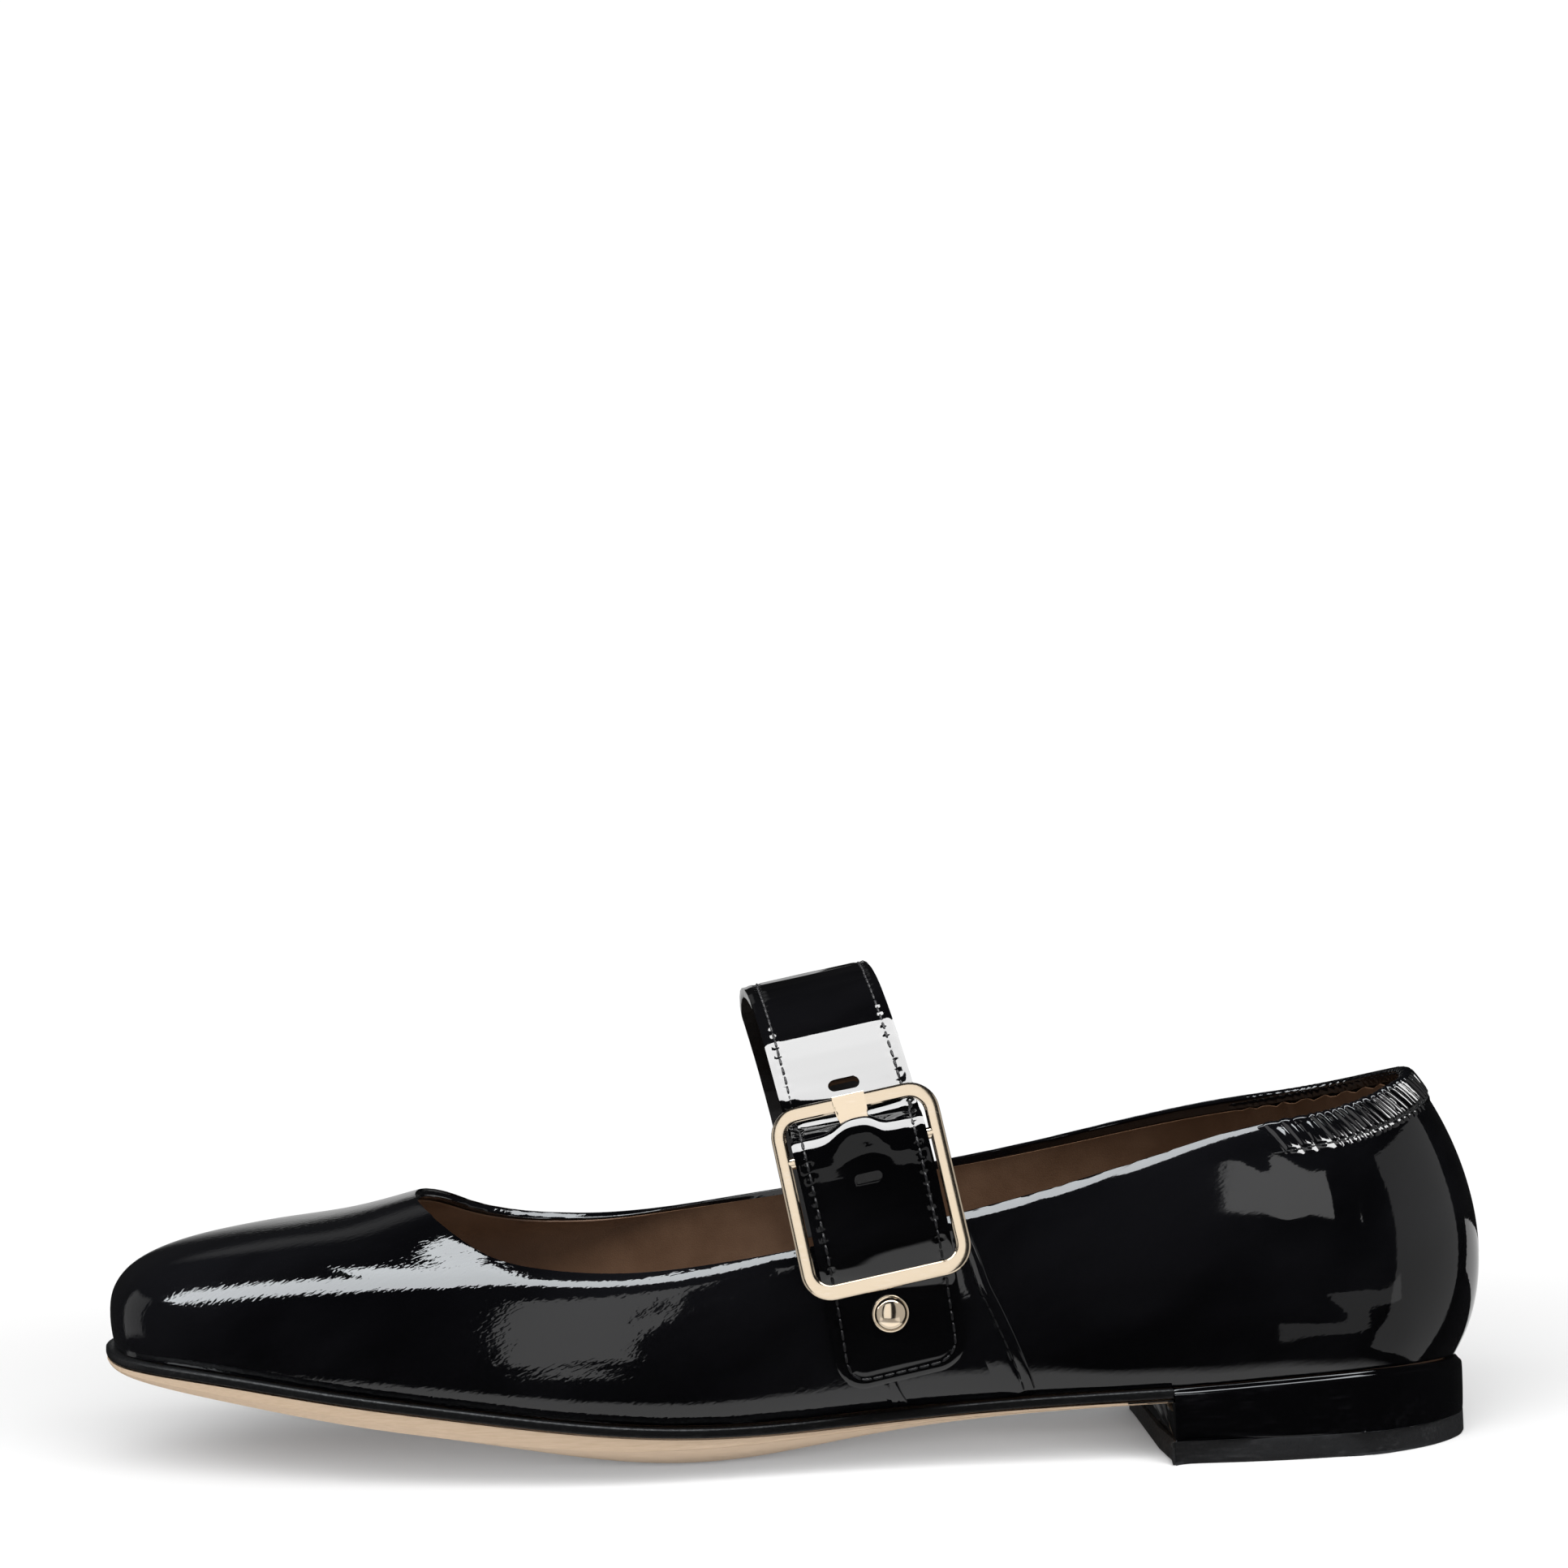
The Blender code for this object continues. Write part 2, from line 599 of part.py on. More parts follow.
def strap_strip():
    """Rows of points across the strap, from the tab's end to its inner end."""
    hole = PRONG_HOLE_WIDTH / STRAP_WIDTH
    stitch = STRAP_STITCH_SHARE
    across = np.array([-1.0, -stitch, -hole, hole, stitch, 1.0]) / 2 * STRAP_WIDTH
    stand_off = GAP + STRAP_THICKNESS / 2
    rows = []
    corner_z = TAB_BOTTOM_Z + TAB_CORNER * (1 - np.cos(np.linspace(0, math.pi / 2, TAB_STEPS)))
    tab_z = np.concatenate([corner_z, np.linspace(corner_z[-1], TAB_TOP_Z, TAB_STEPS)[1:]])
    for z in tab_z:
        row = []
        for d in across * tab_share(z):
            s = strap_centre_s(z) - d * math.cos(STRAP_TILT)
            at_z = z + d * math.sin(STRAP_TILT)
            row.append((s, side_y(s, at_z) - stand_off, at_z))
        rows.append(row)
    tab_end_y = rows[-1][2][1]
    bends = np.array([(tab_end_y - GAP, TAB_TOP_Z + 2.0)] + [tuple(b) for b in STRAP_BENDS])
    for y, z in open_curve(bends, BEND_STEPS):
        row = []
        for d in across:
            s = strap_centre_s(z) - d * math.cos(STRAP_TILT)
            at_z = z + d * math.sin(STRAP_TILT)
            on_tab = y < 0 and z < STRAP_FREE_Z
            clear = side_y(s, at_z) - stand_off if on_tab else y
            row.append((s, min(y, clear), at_z))
        rows.append(row)
    return np.array(rows), len(tab_z)


def strap(parts):
    rows, tab_count = strap_strip()
    bm = bmesh.new()
    verts = bridge_rows(bm, rows, False)
    first = tab_count + BEND_STEPS * HOLE_BEND
    hole = []
    for r in range(first, first + BEND_STEPS):
        hole.append(bm.faces.get((verts[r][2], verts[r][3], verts[r + 1][3], verts[r + 1][2])))
    bmesh.ops.delete(bm, geom=hole, context="FACES")
    band = new_object("strap", bm, parts)
    solidify(band, STRAP_THICKNESS, 0.0)
    return band


# ---------------------------------------------------------------- buckle

def buckle_frame_axes():
    """Axes of the buckle: along its width, up its height and out of its face."""
    across = np.array([-math.cos(STRAP_TILT), 0.0, math.sin(STRAP_TILT)])
    up = np.array([math.sin(STRAP_TILT) * math.cos(BUCKLE_LEAN), math.sin(BUCKLE_LEAN),
                   math.cos(STRAP_TILT) * math.cos(BUCKLE_LEAN)])
    return across, up, np.cross(up, across)


def buckle_point(across, up, out):
    """A point of the buckle, from distances along its own axes."""
    a, b, c = buckle_frame_axes()
    return np.array([BUCKLE_S, BUCKLE_Y, BUCKLE_Z]) + a * across + b * up + c * out


def rounded_square(width, height, corner, steps=5):
    points = []
    for turn, (sx, sy) in enumerate(((1, 1), (-1, 1), (-1, -1), (1, -1))):
        for k in range(steps + 1):
            angle = math.radians(90 * turn + 90 * k / steps)
            points.append((sx * (width / 2 - corner) + corner * math.cos(angle),
                           sy * (height / 2 - corner) + corner * math.sin(angle)))
    return points


def buckle(parts, cutters):
    half = BUCKLE_THICKNESS / 2
    bevel = BUCKLE_BEVEL
    loops = []
    for trim, out in ((0.0, -half), (0.0, half - bevel), (bevel, half),
                      (BUCKLE_BAR - bevel, half), (BUCKLE_BAR, half - bevel), (BUCKLE_BAR, -half)):
        outline = rounded_square(BUCKLE_WIDTH - 2 * trim, BUCKLE_HEIGHT - 2 * trim,
                                 BUCKLE_CORNER - trim)
        loops.append([buckle_point(x, y, out) for x, y in outline])
    bm = bmesh.new()
    bridge_rows(bm, loops + loops[:1], True)
    frame = new_object("buckle", bm, parts)
    bar = []
    reach = BUCKLE_WIDTH / 2 - BUCKLE_BAR / 2
    for x in (-reach, reach):
        bar.append([buckle_point(x, CENTRE_BAR_UP + CENTRE_BAR_RADIUS * math.cos(a),
                                 CENTRE_BAR_RADIUS * math.sin(a))
                    for a in np.radians(np.arange(0, 360, 45))])
    cut(frame, rail("cutter_centre_bar", np.array(bar), cutters), "UNION")
    return frame


def prong(parts):
    path = open_curve(np.array([tuple(b) for b in PRONG_BENDS]), 2)
    rows = []
    for y, z in path:
        row = []
        for d in (-PRONG_WIDTH / 2, -PRONG_WIDTH / 6, PRONG_WIDTH / 6, PRONG_WIDTH / 2):
            s = strap_centre_s(z) - d * math.cos(STRAP_TILT)
            row.append((s, y, z + d * math.sin(STRAP_TILT)))
        rows.append(row)
    bm = bmesh.new()
    bridge_rows(bm, rows, False)
    tongue = new_object("prong", bm, parts)
    solidify(tongue, PRONG_THICKNESS, 0.0)
    return tongue


def stud(parts):
    """Plain domed stud on the tab."""
    s = strap_centre_s(STUD_Z)
    ahead, behind = side_y(s + 1, STUD_Z), side_y(s - 1, STUD_Z)
    above, below = side_y(s, STUD_Z + 1), side_y(s, STUD_Z - 1)
    face = np.array([(ahead - behind) / 2, -1.0, (above - below) / 2])
    face /= np.linalg.norm(face)
    side = np.cross(face, [0.0, 0.0, 1.0])
    side /= np.linalg.norm(side)
    rise = np.cross(side, face)
    base = np.array([s, side_y(s, STUD_Z), STUD_Z]) + face * (2 * GAP + STRAP_THICKNESS)
    loops = []
    for radius, out in STUD_DOME:
        loops.append([base + STUD_RADIUS * radius * (side * math.cos(a) + rise * math.sin(a))
                      + face * STUD_HEIGHT * out for a in np.radians(np.arange(0, 360, 22.5))])
    return rail("stud", np.array(loops), parts)


# ---------------------------------------------------------------- assembly

def paint(obj):
    finish = FINISHES[obj.name]
    material = bpy.data.materials.new(obj.name)
    material.use_nodes = True
    shader = material.node_tree.nodes["Principled BSDF"]
    shader.inputs["Base Color"].default_value = (*finish.colour, 1.0)
    shader.inputs["Metallic"].default_value = finish.metallic
    shader.inputs["Roughness"].default_value = finish.roughness
    obj.data.materials.append(material)
    obj.data.shade_smooth()
    obj.data.set_sharp_from_angle(angle=SHARP)


def main():
    for obj in list(bpy.data.objects):
        bpy.data.objects.remove(obj, do_unlink=True)
    parts = bpy.data.collections.new("ballet_flat")
    cutters = bpy.data.collections.new("cutters")
    for collection in (parts, cutters):
        bpy.context.scene.collection.children.link(collection)
    built = [
        outsole(parts, cutters), rand(parts), heel_block(parts, cutters), top_piece(parts),
        insole(parts), upper(parts), strap(parts), buckle(parts, cutters), prong(parts), stud(parts),
    ]
    for obj in built:
        paint(obj)


main()
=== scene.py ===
"""Looks of the ballet flat: patent leather, lining, stitching, buckle, sole and heel.

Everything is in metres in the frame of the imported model: the floor is z = 0, the toe
points to -X and the outer side of this left shoe faces -Y.  `s` is the distance
forward of the back of the heel, in millimetres, as a shoemaker measures it.
"""
import json
import math
from collections import namedtuple

import bmesh
import bpy
import numpy as np
from mathutils import Matrix, Vector
from mathutils import noise
from mathutils.bvhtree import BVHTree
from mathutils.kdtree import KDTree

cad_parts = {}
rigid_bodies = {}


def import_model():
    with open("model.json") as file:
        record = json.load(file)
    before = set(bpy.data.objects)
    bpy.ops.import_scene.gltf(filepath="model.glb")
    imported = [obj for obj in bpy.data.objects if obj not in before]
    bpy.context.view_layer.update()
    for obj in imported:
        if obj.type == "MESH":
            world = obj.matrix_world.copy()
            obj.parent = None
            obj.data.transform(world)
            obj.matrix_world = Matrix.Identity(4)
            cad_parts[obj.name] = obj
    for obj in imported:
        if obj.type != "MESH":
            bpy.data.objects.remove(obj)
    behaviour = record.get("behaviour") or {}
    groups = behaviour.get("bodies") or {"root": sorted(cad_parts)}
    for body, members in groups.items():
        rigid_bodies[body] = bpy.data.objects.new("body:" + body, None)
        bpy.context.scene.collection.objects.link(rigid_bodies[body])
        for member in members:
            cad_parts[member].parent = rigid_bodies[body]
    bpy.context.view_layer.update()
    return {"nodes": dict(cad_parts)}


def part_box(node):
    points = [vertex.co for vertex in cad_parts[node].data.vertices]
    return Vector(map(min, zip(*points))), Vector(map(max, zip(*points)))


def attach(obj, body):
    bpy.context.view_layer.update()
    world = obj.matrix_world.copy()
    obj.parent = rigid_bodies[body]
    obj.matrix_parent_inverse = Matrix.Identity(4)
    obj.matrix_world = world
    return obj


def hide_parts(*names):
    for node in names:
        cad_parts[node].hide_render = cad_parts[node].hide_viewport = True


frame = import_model()

MM = 0.001
HEEL_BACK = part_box("heel_block")[1].x / MM
STRAP_TILT = math.radians(11.0)
AXIS_Y = 0.9                    # y of the heel's centreline
OUTER, INNER = -1.0, 1.0        # the two sides of the shoe, by the sign of y
CRISP = 60                      # degrees: an edge bent more than this is a real edge of a piece


# ------------------------------------------------------------------ handling

def put_down():
    """Leaves edit mode with nothing selected."""
    if bpy.context.object and bpy.context.object.mode != "OBJECT":
        bpy.ops.object.mode_set(mode="OBJECT")
    bpy.ops.object.select_all(action="DESELECT")


def take_up(piece):
    put_down()
    piece.select_set(True)
    bpy.context.view_layer.objects.active = piece


def edit(piece, mode="FACE"):
    take_up(piece)
    bpy.ops.object.mode_set(mode="EDIT")
    bpy.ops.mesh.select_mode(type=mode)
    bpy.ops.mesh.select_all(action="DESELECT")
    return bmesh.from_edit_mesh(piece.data)


def choose(piece, mesh, elements, mode="FACE"):
    """Selects some faces or edges of the piece in edit mode."""
    bpy.ops.mesh.select_mode(type=mode)
    bpy.ops.mesh.select_all(action="DESELECT")
    for element in elements:
        element.select_set(True)
    mesh.select_flush_mode()
    bmesh.update_edit_mesh(piece.data)


def finish_with(piece, kind, **settings):
    """Adds a modifier and applies it."""
    take_up(piece)
    modifier = piece.modifiers.new(kind.title(), kind)
    for key, value in settings.items():
        setattr(modifier, key, value)
    bpy.ops.object.modifier_apply(modifier=modifier.name)


def copy_of(node, name):
    """A copy of a node with its corners merged and its triangles paired to quads."""
    piece = bpy.data.objects.new(name, frame["nodes"][node].data.copy())
    bpy.context.scene.collection.objects.link(piece)
    piece.data.materials.clear()
    take_up(piece)
    bpy.ops.mesh.customdata_custom_splitnormals_clear()
    edit(piece)
    bpy.ops.mesh.select_all(action="SELECT")
    bpy.ops.mesh.remove_doubles(threshold=0.01 * MM)
    bpy.ops.mesh.tris_convert_to_quads(face_threshold=math.pi, shape_threshold=math.pi,
                                       topology_influence=1.5)
    put_down()
    return piece


def bent_edges(mesh, least):
    """Edges where the surface turns by at least so many degrees."""
    return [e for e in mesh.edges if len(e.link_faces) == 2 and e.calc_face_angle(0) >= math.radians(least)]


def crease(piece, least, amount=1.0):
    mesh = edit(piece, "EDGE")
    layer = mesh.edges.layers.float.get("crease_edge") or mesh.edges.layers.float.new("crease_edge")
    for edge in bent_edges(mesh, least):
        edge[layer] = amount
    bmesh.update_edit_mesh(piece.data)
    put_down()


def corners(piece):
    at = np.zeros(len(piece.data.vertices) * 3)
    piece.data.vertices.foreach_get("co", at)
    return at.reshape(-1, 3)


def set_corners(piece, at):
    piece.data.vertices.foreach_set("co", np.asarray(at, float).ravel())
    piece.data.update()


def smooth_skin(piece, levels, rounds=3):
    """Subdivides a cage so that the fine skin still runs through its corners."""
    kept = corners(piece)
    cage = kept.copy()
    modifier = piece.modifiers.new("Skin", "SUBSURF")
    modifier.levels = modifier.render_levels = levels
    modifier.use_limit_surface = True
    for _ in range(rounds):
        seen = piece.evaluated_get(bpy.context.evaluated_depsgraph_get()).to_mesh()
        fine = np.zeros(len(seen.vertices) * 3)
        seen.vertices.foreach_get("co", fine)
        cage += kept - fine.reshape(-1, 3)[:len(kept)]
        set_corners(piece, cage)
        bpy.context.view_layer.update()
    take_up(piece)
    bpy.ops.object.modifier_apply(modifier=modifier.name)


def leaning(piece):
    """Normals of a piece's corners."""
    piece.data.update()
    lean = np.zeros(len(piece.data.vertices) * 3)
    piece.data.vertices.foreach_get("normal", lean)
    return lean.reshape(-1, 3)


def waver(piece, spacing, height, seed):
    """Slow irregular swells that keep a glossy face from looking machined."""
    at, lean = corners(piece), leaning(piece)
    drift = Vector((seed * 7.3, seed * 1.9, seed * 4.1))
    swell = np.array([noise.noise(Vector(p) / spacing + drift) for p in at])
    set_corners(piece, at + lean * (swell * height)[:, None])


def grid_sheet(name, rows, columns, at):
    """A sheet of faces in rows and columns, with its corners at the places given."""
    put_down()
    bpy.ops.mesh.primitive_grid_add(x_subdivisions=columns - 1, y_subdivisions=rows - 1)
    sheet = bpy.context.object
    sheet.name = sheet.data.name = name
    set_corners(sheet, at)
    return sheet


def face_outward(sheet, tested=lambda face: True):
    """Makes a sheet's faces agree, and look away from the middle of the shoe."""
    edit(sheet)
    bpy.ops.mesh.select_all(action="SELECT")
    bpy.ops.mesh.normals_make_consistent(inside=False)
    put_down()
    if np.mean([f.normal.y * np.sign(f.center.y) for f in sheet.data.polygons if tested(f)]) < 0:
        sheet.data.flip_normals()


def axes_at(place, *axes):
    """The move that puts a piece's own x, y and z along three axes at a place."""
    return Matrix.Translation(place) @ Matrix(axes).transposed().to_4x4()


def bell(value, middle, half):
    """A soft hump of height 1 about a middle value."""
    return np.exp(-((value - middle) / half) ** 2)


def shade(piece, angle=40):
    take_up(piece)
    bpy.ops.object.shade_smooth_by_angle(angle=math.radians(angle))


def seat(piece, material, slot, *nodes):
    """Gives a finished piece its material if it has none yet, attaches it to its body and hides the nodes
    it stands in for. The slot is not used.
    """
    if not piece.data.materials:
        piece.data.materials.append(material)
    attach(piece, "root")
    if nodes:
        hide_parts(*nodes)
    return piece


# ------------------------------------------------------------------ places

def s_of(x):
    return HEEL_BACK - x / MM


def x_of(s):
    return (HEEL_BACK - s) * MM


class Skin:
    """The surface of a finished piece, to lay other pieces on."""

    def __init__(self, piece):
        take_up(piece)
        mesh = piece.data
        self.tree = BVHTree.FromPolygons([v.co for v in mesh.vertices],
                                         [tuple(p.vertices) for p in mesh.polygons])
        self.faces = [tuple(p.vertices) for p in mesh.polygons]
        self.at = [v.co.copy() for v in mesh.vertices]
        self.lean = [v.normal.copy() for v in mesh.vertices]

    def soften(self, spot, index):
        """Normal at a spot, read between the corners of its face."""
        total = Vector()
        for v in self.faces[index]:
            total += self.lean[v] / max((self.at[v] - spot).length, 0.02 * MM)
        return total.normalized()

    def from_side(self, s, z, side):
        """Where a level needle pushed in from one side meets the surface."""
        start = Vector((x_of(s), side * 0.2, z * MM))
        spot, _, index, _ = self.tree.ray_cast(start, Vector((0, -side, 0)))
        if spot is None:
            return None
        return spot, self.soften(spot, index)

    def nearest(self, point):
        spot, _, index, _ = self.tree.find_nearest(point)
        return spot, self.soften(spot, index)


STEPS = 24                      # steps of a smooth line between two of its points


def smooth_line(points):
    """A fine smooth line through a few points."""
    p = np.array([np.asarray(q, float) for q in points])
    p = np.vstack([2 * p[0] - p[1], p, 2 * p[-1] - p[-2]])
    fine = []
    for i in range(1, len(p) - 2):
        for t in np.linspace(0, 1, STEPS, endpoint=False):
            fine.append(0.5 * (2 * p[i] + (p[i + 1] - p[i - 1]) * t
                               + (2 * p[i - 1] - 5 * p[i] + 4 * p[i + 1] - p[i + 2]) * t ** 2
                               + (3 * p[i] - p[i - 1] - 3 * p[i + 1] + p[i + 2]) * t ** 3))
    return np.array(fine + [p[-2]])


def read_evenly(line, count):
    along = np.concatenate([[0], np.cumsum(np.linalg.norm(np.diff(line, axis=0), axis=1))])
    even = np.linspace(0, along[-1], count)
    return np.column_stack([np.interp(even, along, line[:, k]) for k in range(line.shape[1])])


def length_of(line):
    return float(np.linalg.norm(np.diff(line, axis=0), axis=1).sum())


def curve_through(points, pitch):
    """Evenly spaced points on a smooth line through a few points, about `pitch` apart."""
    line = smooth_line(points)
    return read_evenly(line, max(3, int(round(length_of(line) / pitch)) + 1))


def closed_curve(ring, pitch):
    """The same round a closed ring; the last point meets the first."""
    points = [np.array(p) for p in ring]
    line = smooth_line(points[-3:] + points + points[:3])
    line = line[3 * STEPS:(3 + len(points)) * STEPS + 1]
    return read_evenly(line, int(round(length_of(line) / pitch)) + 1)


def seam_on(skin, line, side, pitch):
    """Spots and normals along a line of (s, z) on one side of the shoe."""
    spots = [skin.from_side(s, z, side) for s, z in curve_through(line, pitch)]
    return [spot for spot in spots if spot and spot[0].y * side > 0]


def lefts_of(spots):
    """The way to the left of a line of spots, as seen from outside, at each of them."""
    last = len(spots) - 1
    return [lean.cross(spots[min(i + 1, last)][0] - spots[max(i - 1, 0)][0]).normalized()
            for i, (_, lean) in enumerate(spots)]


def laid_strip(name, skin, spots, profile):
    """A strip laid on a skin along spots: `profile` gives (left, height) across it."""
    at = []
    for spot, left in zip([spot for spot, _ in spots], lefts_of(spots)):
        for sideways, height in profile:
            foot, up = skin.nearest(spot + left * sideways)
            at.append(foot + up * height)
    return grid_sheet(name, len(spots), len(profile), at)


# ------------------------------------------------------------------ stitches

def thread_stitch(length, thickness):
    """One stitch of thread: it lies flat and dives into the leather at both ends."""
    bpy.ops.mesh.primitive_cylinder_add(vertices=6, radius=thickness / 2, depth=length,
                                        rotation=(0, math.pi / 2, 0), end_fill_type="NGON")
    stitch = bpy.context.object
    bpy.ops.object.transform_apply(location=True, rotation=True, scale=True)
    mesh = edit(stitch, "EDGE")
    choose(stitch, mesh, [e for e in mesh.edges
                          if abs(e.verts[0].co.x - e.verts[1].co.x) > length / 2], "EDGE")
    bpy.ops.mesh.subdivide(number_cuts=4)
    put_down()
    at = corners(stitch)
    share = np.clip(np.abs(at[:, 0]) / (length / 2), 0, 1)
    at[:, 1:] *= (1 - 0.4 * share ** 4)[:, None]
    at[:, 2] += thickness * (0.26 - 0.7 * share ** 4)
    set_corners(stitch, at)
    return stitch


Stitch = namedtuple("Stitch", "pitch thickness")
STRAP_STITCH = Stitch(2.05, 0.46)
SEAM_STITCH = Stitch(2.1, 0.34)
COLLAR_STITCH = Stitch(2.0, 0.34)
STITCH_SHARE = 0.96             # of its pitch that a stitch shows


def stitch_row(name, spots, kind):
    """A row of stitches along evenly spaced spots."""
    stitch = thread_stitch(kind.pitch * STITCH_SHARE * MM, kind.thickness * MM)
    row = bmesh.new()
    for (a, lean_a), (b, lean_b) in zip(spots, spots[1:]):
        along = (b - a).normalized()
        up = (lean_a + lean_b).normalized()
        side = up.cross(along).normalized()
        up = along.cross(side)
        one = stitch.data.copy()
        one.transform(axes_at((a + b) / 2, along, side, up))
        row.from_mesh(one)
        bpy.data.meshes.remove(one)
    mesh = bpy.data.meshes.new(name)
    row.to_mesh(mesh)
    row.free()
    bpy.data.objects.remove(stitch)
    piece = bpy.data.objects.new(name, mesh)
    bpy.context.scene.collection.objects.link(piece)
    shade(piece)
    seat(piece, THREAD, None)


# ------------------------------------------------------------------ materials

def effect(name, outputs):
    """An empty shader group that takes a scale and puts out values by name."""
    tree = bpy.data.node_groups.new(name, "ShaderNodeTree")
    tree.interface.new_socket("Scale", in_out="INPUT", socket_type="NodeSocketFloat").default_value = 1.0
    for label in outputs:
        tree.interface.new_socket(label, in_out="OUTPUT", socket_type="NodeSocketFloat")
    given, out = tree.nodes.new("NodeGroupInput"), tree.nodes.new("NodeGroupOutput")
    return tree, given.outputs["Scale"], out.inputs


def node(tree, kind, settings=None, **links):
    """A node with its settings, its values and its links, by socket name."""
    made = tree.nodes.new("ShaderNode" + kind)
    for key, value in (settings or {}).items():
        setattr(made, key, value)
    for key, value in links.items():
        socket = made.inputs[int(key[1:])] if key[0] == "_" and key[1:].isdigit() \
            else made.inputs[key.replace("_", " ")]
        if isinstance(value, bpy.types.NodeSocket):
            tree.links.new(value, socket)
        else:
            socket.default_value = value
    return made


def scaled_place(tree, scale=None, stretch=(1, 1, 1), turn=(0, 0, 0)):
    """Object coordinates, turned and stretched along the shoe's axes, times an effect's scale."""
    place = node(tree, "TexCoord").outputs["Object"]
    if any(turn):
        place = node(tree, "Mapping", {"vector_type": "POINT"}, Vector=place, Rotation=turn).outputs[0]
    place = node(tree, "Mapping", Vector=place, Scale=stretch).outputs[0]
    if scale:
        place = node(tree, "VectorMath", {"operation": "SCALE"}, _0=place, Scale=scale).outputs[0]
    return place


def maths(tree, operation, a, b=0.0):
    return node(tree, "Math", {"operation": operation}, _0=a, _1=b).outputs[0]


def times(tree, a, b):
    return maths(tree, "MULTIPLY", a, b)


def plus(tree, a, b):
    return maths(tree, "ADD", a, b)


def spread(tree, value, low, high, to_low=0.0, to_high=1.0):
    """Stretches a range of a value to another range, with soft ends."""
    return node(tree, "MapRange", {"interpolation_type": "SMOOTHSTEP"}, Value=value, From_Min=low,
                From_Max=high, To_Min=to_low, To_Max=to_high).outputs[0]


def mottle(tree, place, scale, detail=2.0, rough=0.5, twist=0.0):
    """Cloudy noise of a given size: 0 to 1 over the surface."""
    return node(tree, "TexNoise", Vector=place, Scale=scale, Detail=detail, Roughness=rough,
                Distortion=twist).outputs[0]


def blend_colours(tree, share, first, second):
    return node(tree, "Mix", {"data_type": "RGBA"}, _0=share, _6=first, _7=second).outputs[2]


def crinkle_effect():
    """Relief of leather under a lacquer film: fine creases, pores and slow swells."""
    tree, given, out = effect("Lacquer crinkle", ["Height", "Haze"])
    place = scaled_place(tree, given, (0.45, 1.0, 1.2), (0, math.radians(28), 0))
    ahead = node(tree, "SeparateXYZ", Vector=scaled_place(tree)).outputs[0]
    worked = spread(tree, ahead, -0.04, 0.06, 1.0, 0.15)        # the forepart creases most
    creases = times(tree, mottle(tree, place, 1500.0, 1.0, 0.5, 0.3), 0.6)
    swell = mottle(tree, place, 95.0, 1.0)
    pore = node(tree, "TexVoronoi", {"feature": "F1"}, Vector=place, Scale=1500.0).outputs[0]
    relief = times(tree, creases, worked)
    relief = plus(tree, relief, times(tree, swell, 0.9))
    tree.links.new(plus(tree, relief, times(tree, pore, 0.05)), out["Height"])
    tree.links.new(spread(tree, mottle(tree, place, 38.0, 4.0), 0.35, 0.7), out["Haze"])
    return tree


def hide_effect():
    """Grain of soft unlacquered leather: small cells, pores and cloudy dye."""
    tree, given, out = effect("Hide grain", ["Height", "Cloud", "Speck"])
    place = scaled_place(tree, given)
    warp = node(tree, "TexNoise", Vector=place, Scale=900.0, Detail=2.0).outputs[1]
    moved = node(tree, "VectorMath", {"operation": "MULTIPLY_ADD"}, _0=warp, _1=[0.6 * MM] * 3,
                 _2=place).outputs[0]
    cell = node(tree, "TexVoronoi", {"feature": "DISTANCE_TO_EDGE"}, Vector=moved,
                Scale=1300.0).outputs[0]
    fine = times(tree, mottle(tree, place, 2600.0, 3.0), 0.5)
    tree.links.new(plus(tree, spread(tree, cell, 0.0, 0.22), fine), out["Height"])
    tree.links.new(spread(tree, mottle(tree, place, 60.0, 5.0, 0.6), 0.3, 0.75), out["Cloud"])
    tree.links.new(spread(tree, mottle(tree, place, 4200.0, 1.0), 0.5, 0.75), out["Speck"])
    return tree


def scuff_effect():
    """Faint rubbed streaks and dust that dull a hard gloss."""
    tree, given, out = effect("Handling marks", ["Rubbed", "Height"])
    streak = mottle(tree, scaled_place(tree, given, (0.15, 1.0, 1.0)), 1800.0, 4.0)
    patch = mottle(tree, scaled_place(tree, given), 120.0, 3.0)
    rubbed = times(tree, spread(tree, streak, 0.45, 0.75), spread(tree, patch, 0.4, 0.7))
    tree.links.new(rubbed, out["Rubbed"])
    tree.links.new(streak, out["Height"])
    return tree


CRINKLE = crinkle_effect()
HIDE = hide_effect()
SCUFF = scuff_effect()


def finish_named(name, **values):
    """A material with its shader's even values set on the shader's own sockets."""
    material = bpy.data.materials.new(name)
    material.use_nodes = True
    shader = material.node_tree.nodes["Principled BSDF"]
    for key, value in values.items():
        shader.inputs[key.replace("_", " ")].default_value = value
    return material, material.node_tree, shader


def use(tree, effect_tree, scale):
    """Places an effect in a material and hands back its outputs."""
    made = tree.nodes.new("ShaderNodeGroup")
    made.node_tree = effect_tree
    made.inputs["Scale"].default_value = scale
    return made.outputs


def dress(tree, shader, colour, rough, height, depth):
    """Joins a material's colour, roughness and relief to its shader."""
    tree.links.new(colour, shader.inputs["Base Color"])
    tree.links.new(rough, shader.inputs["Roughness"])
    bump = node(tree, "Bump", Height=height, Distance=depth)
    tree.links.new(bump.outputs[0], shader.inputs["Normal"])


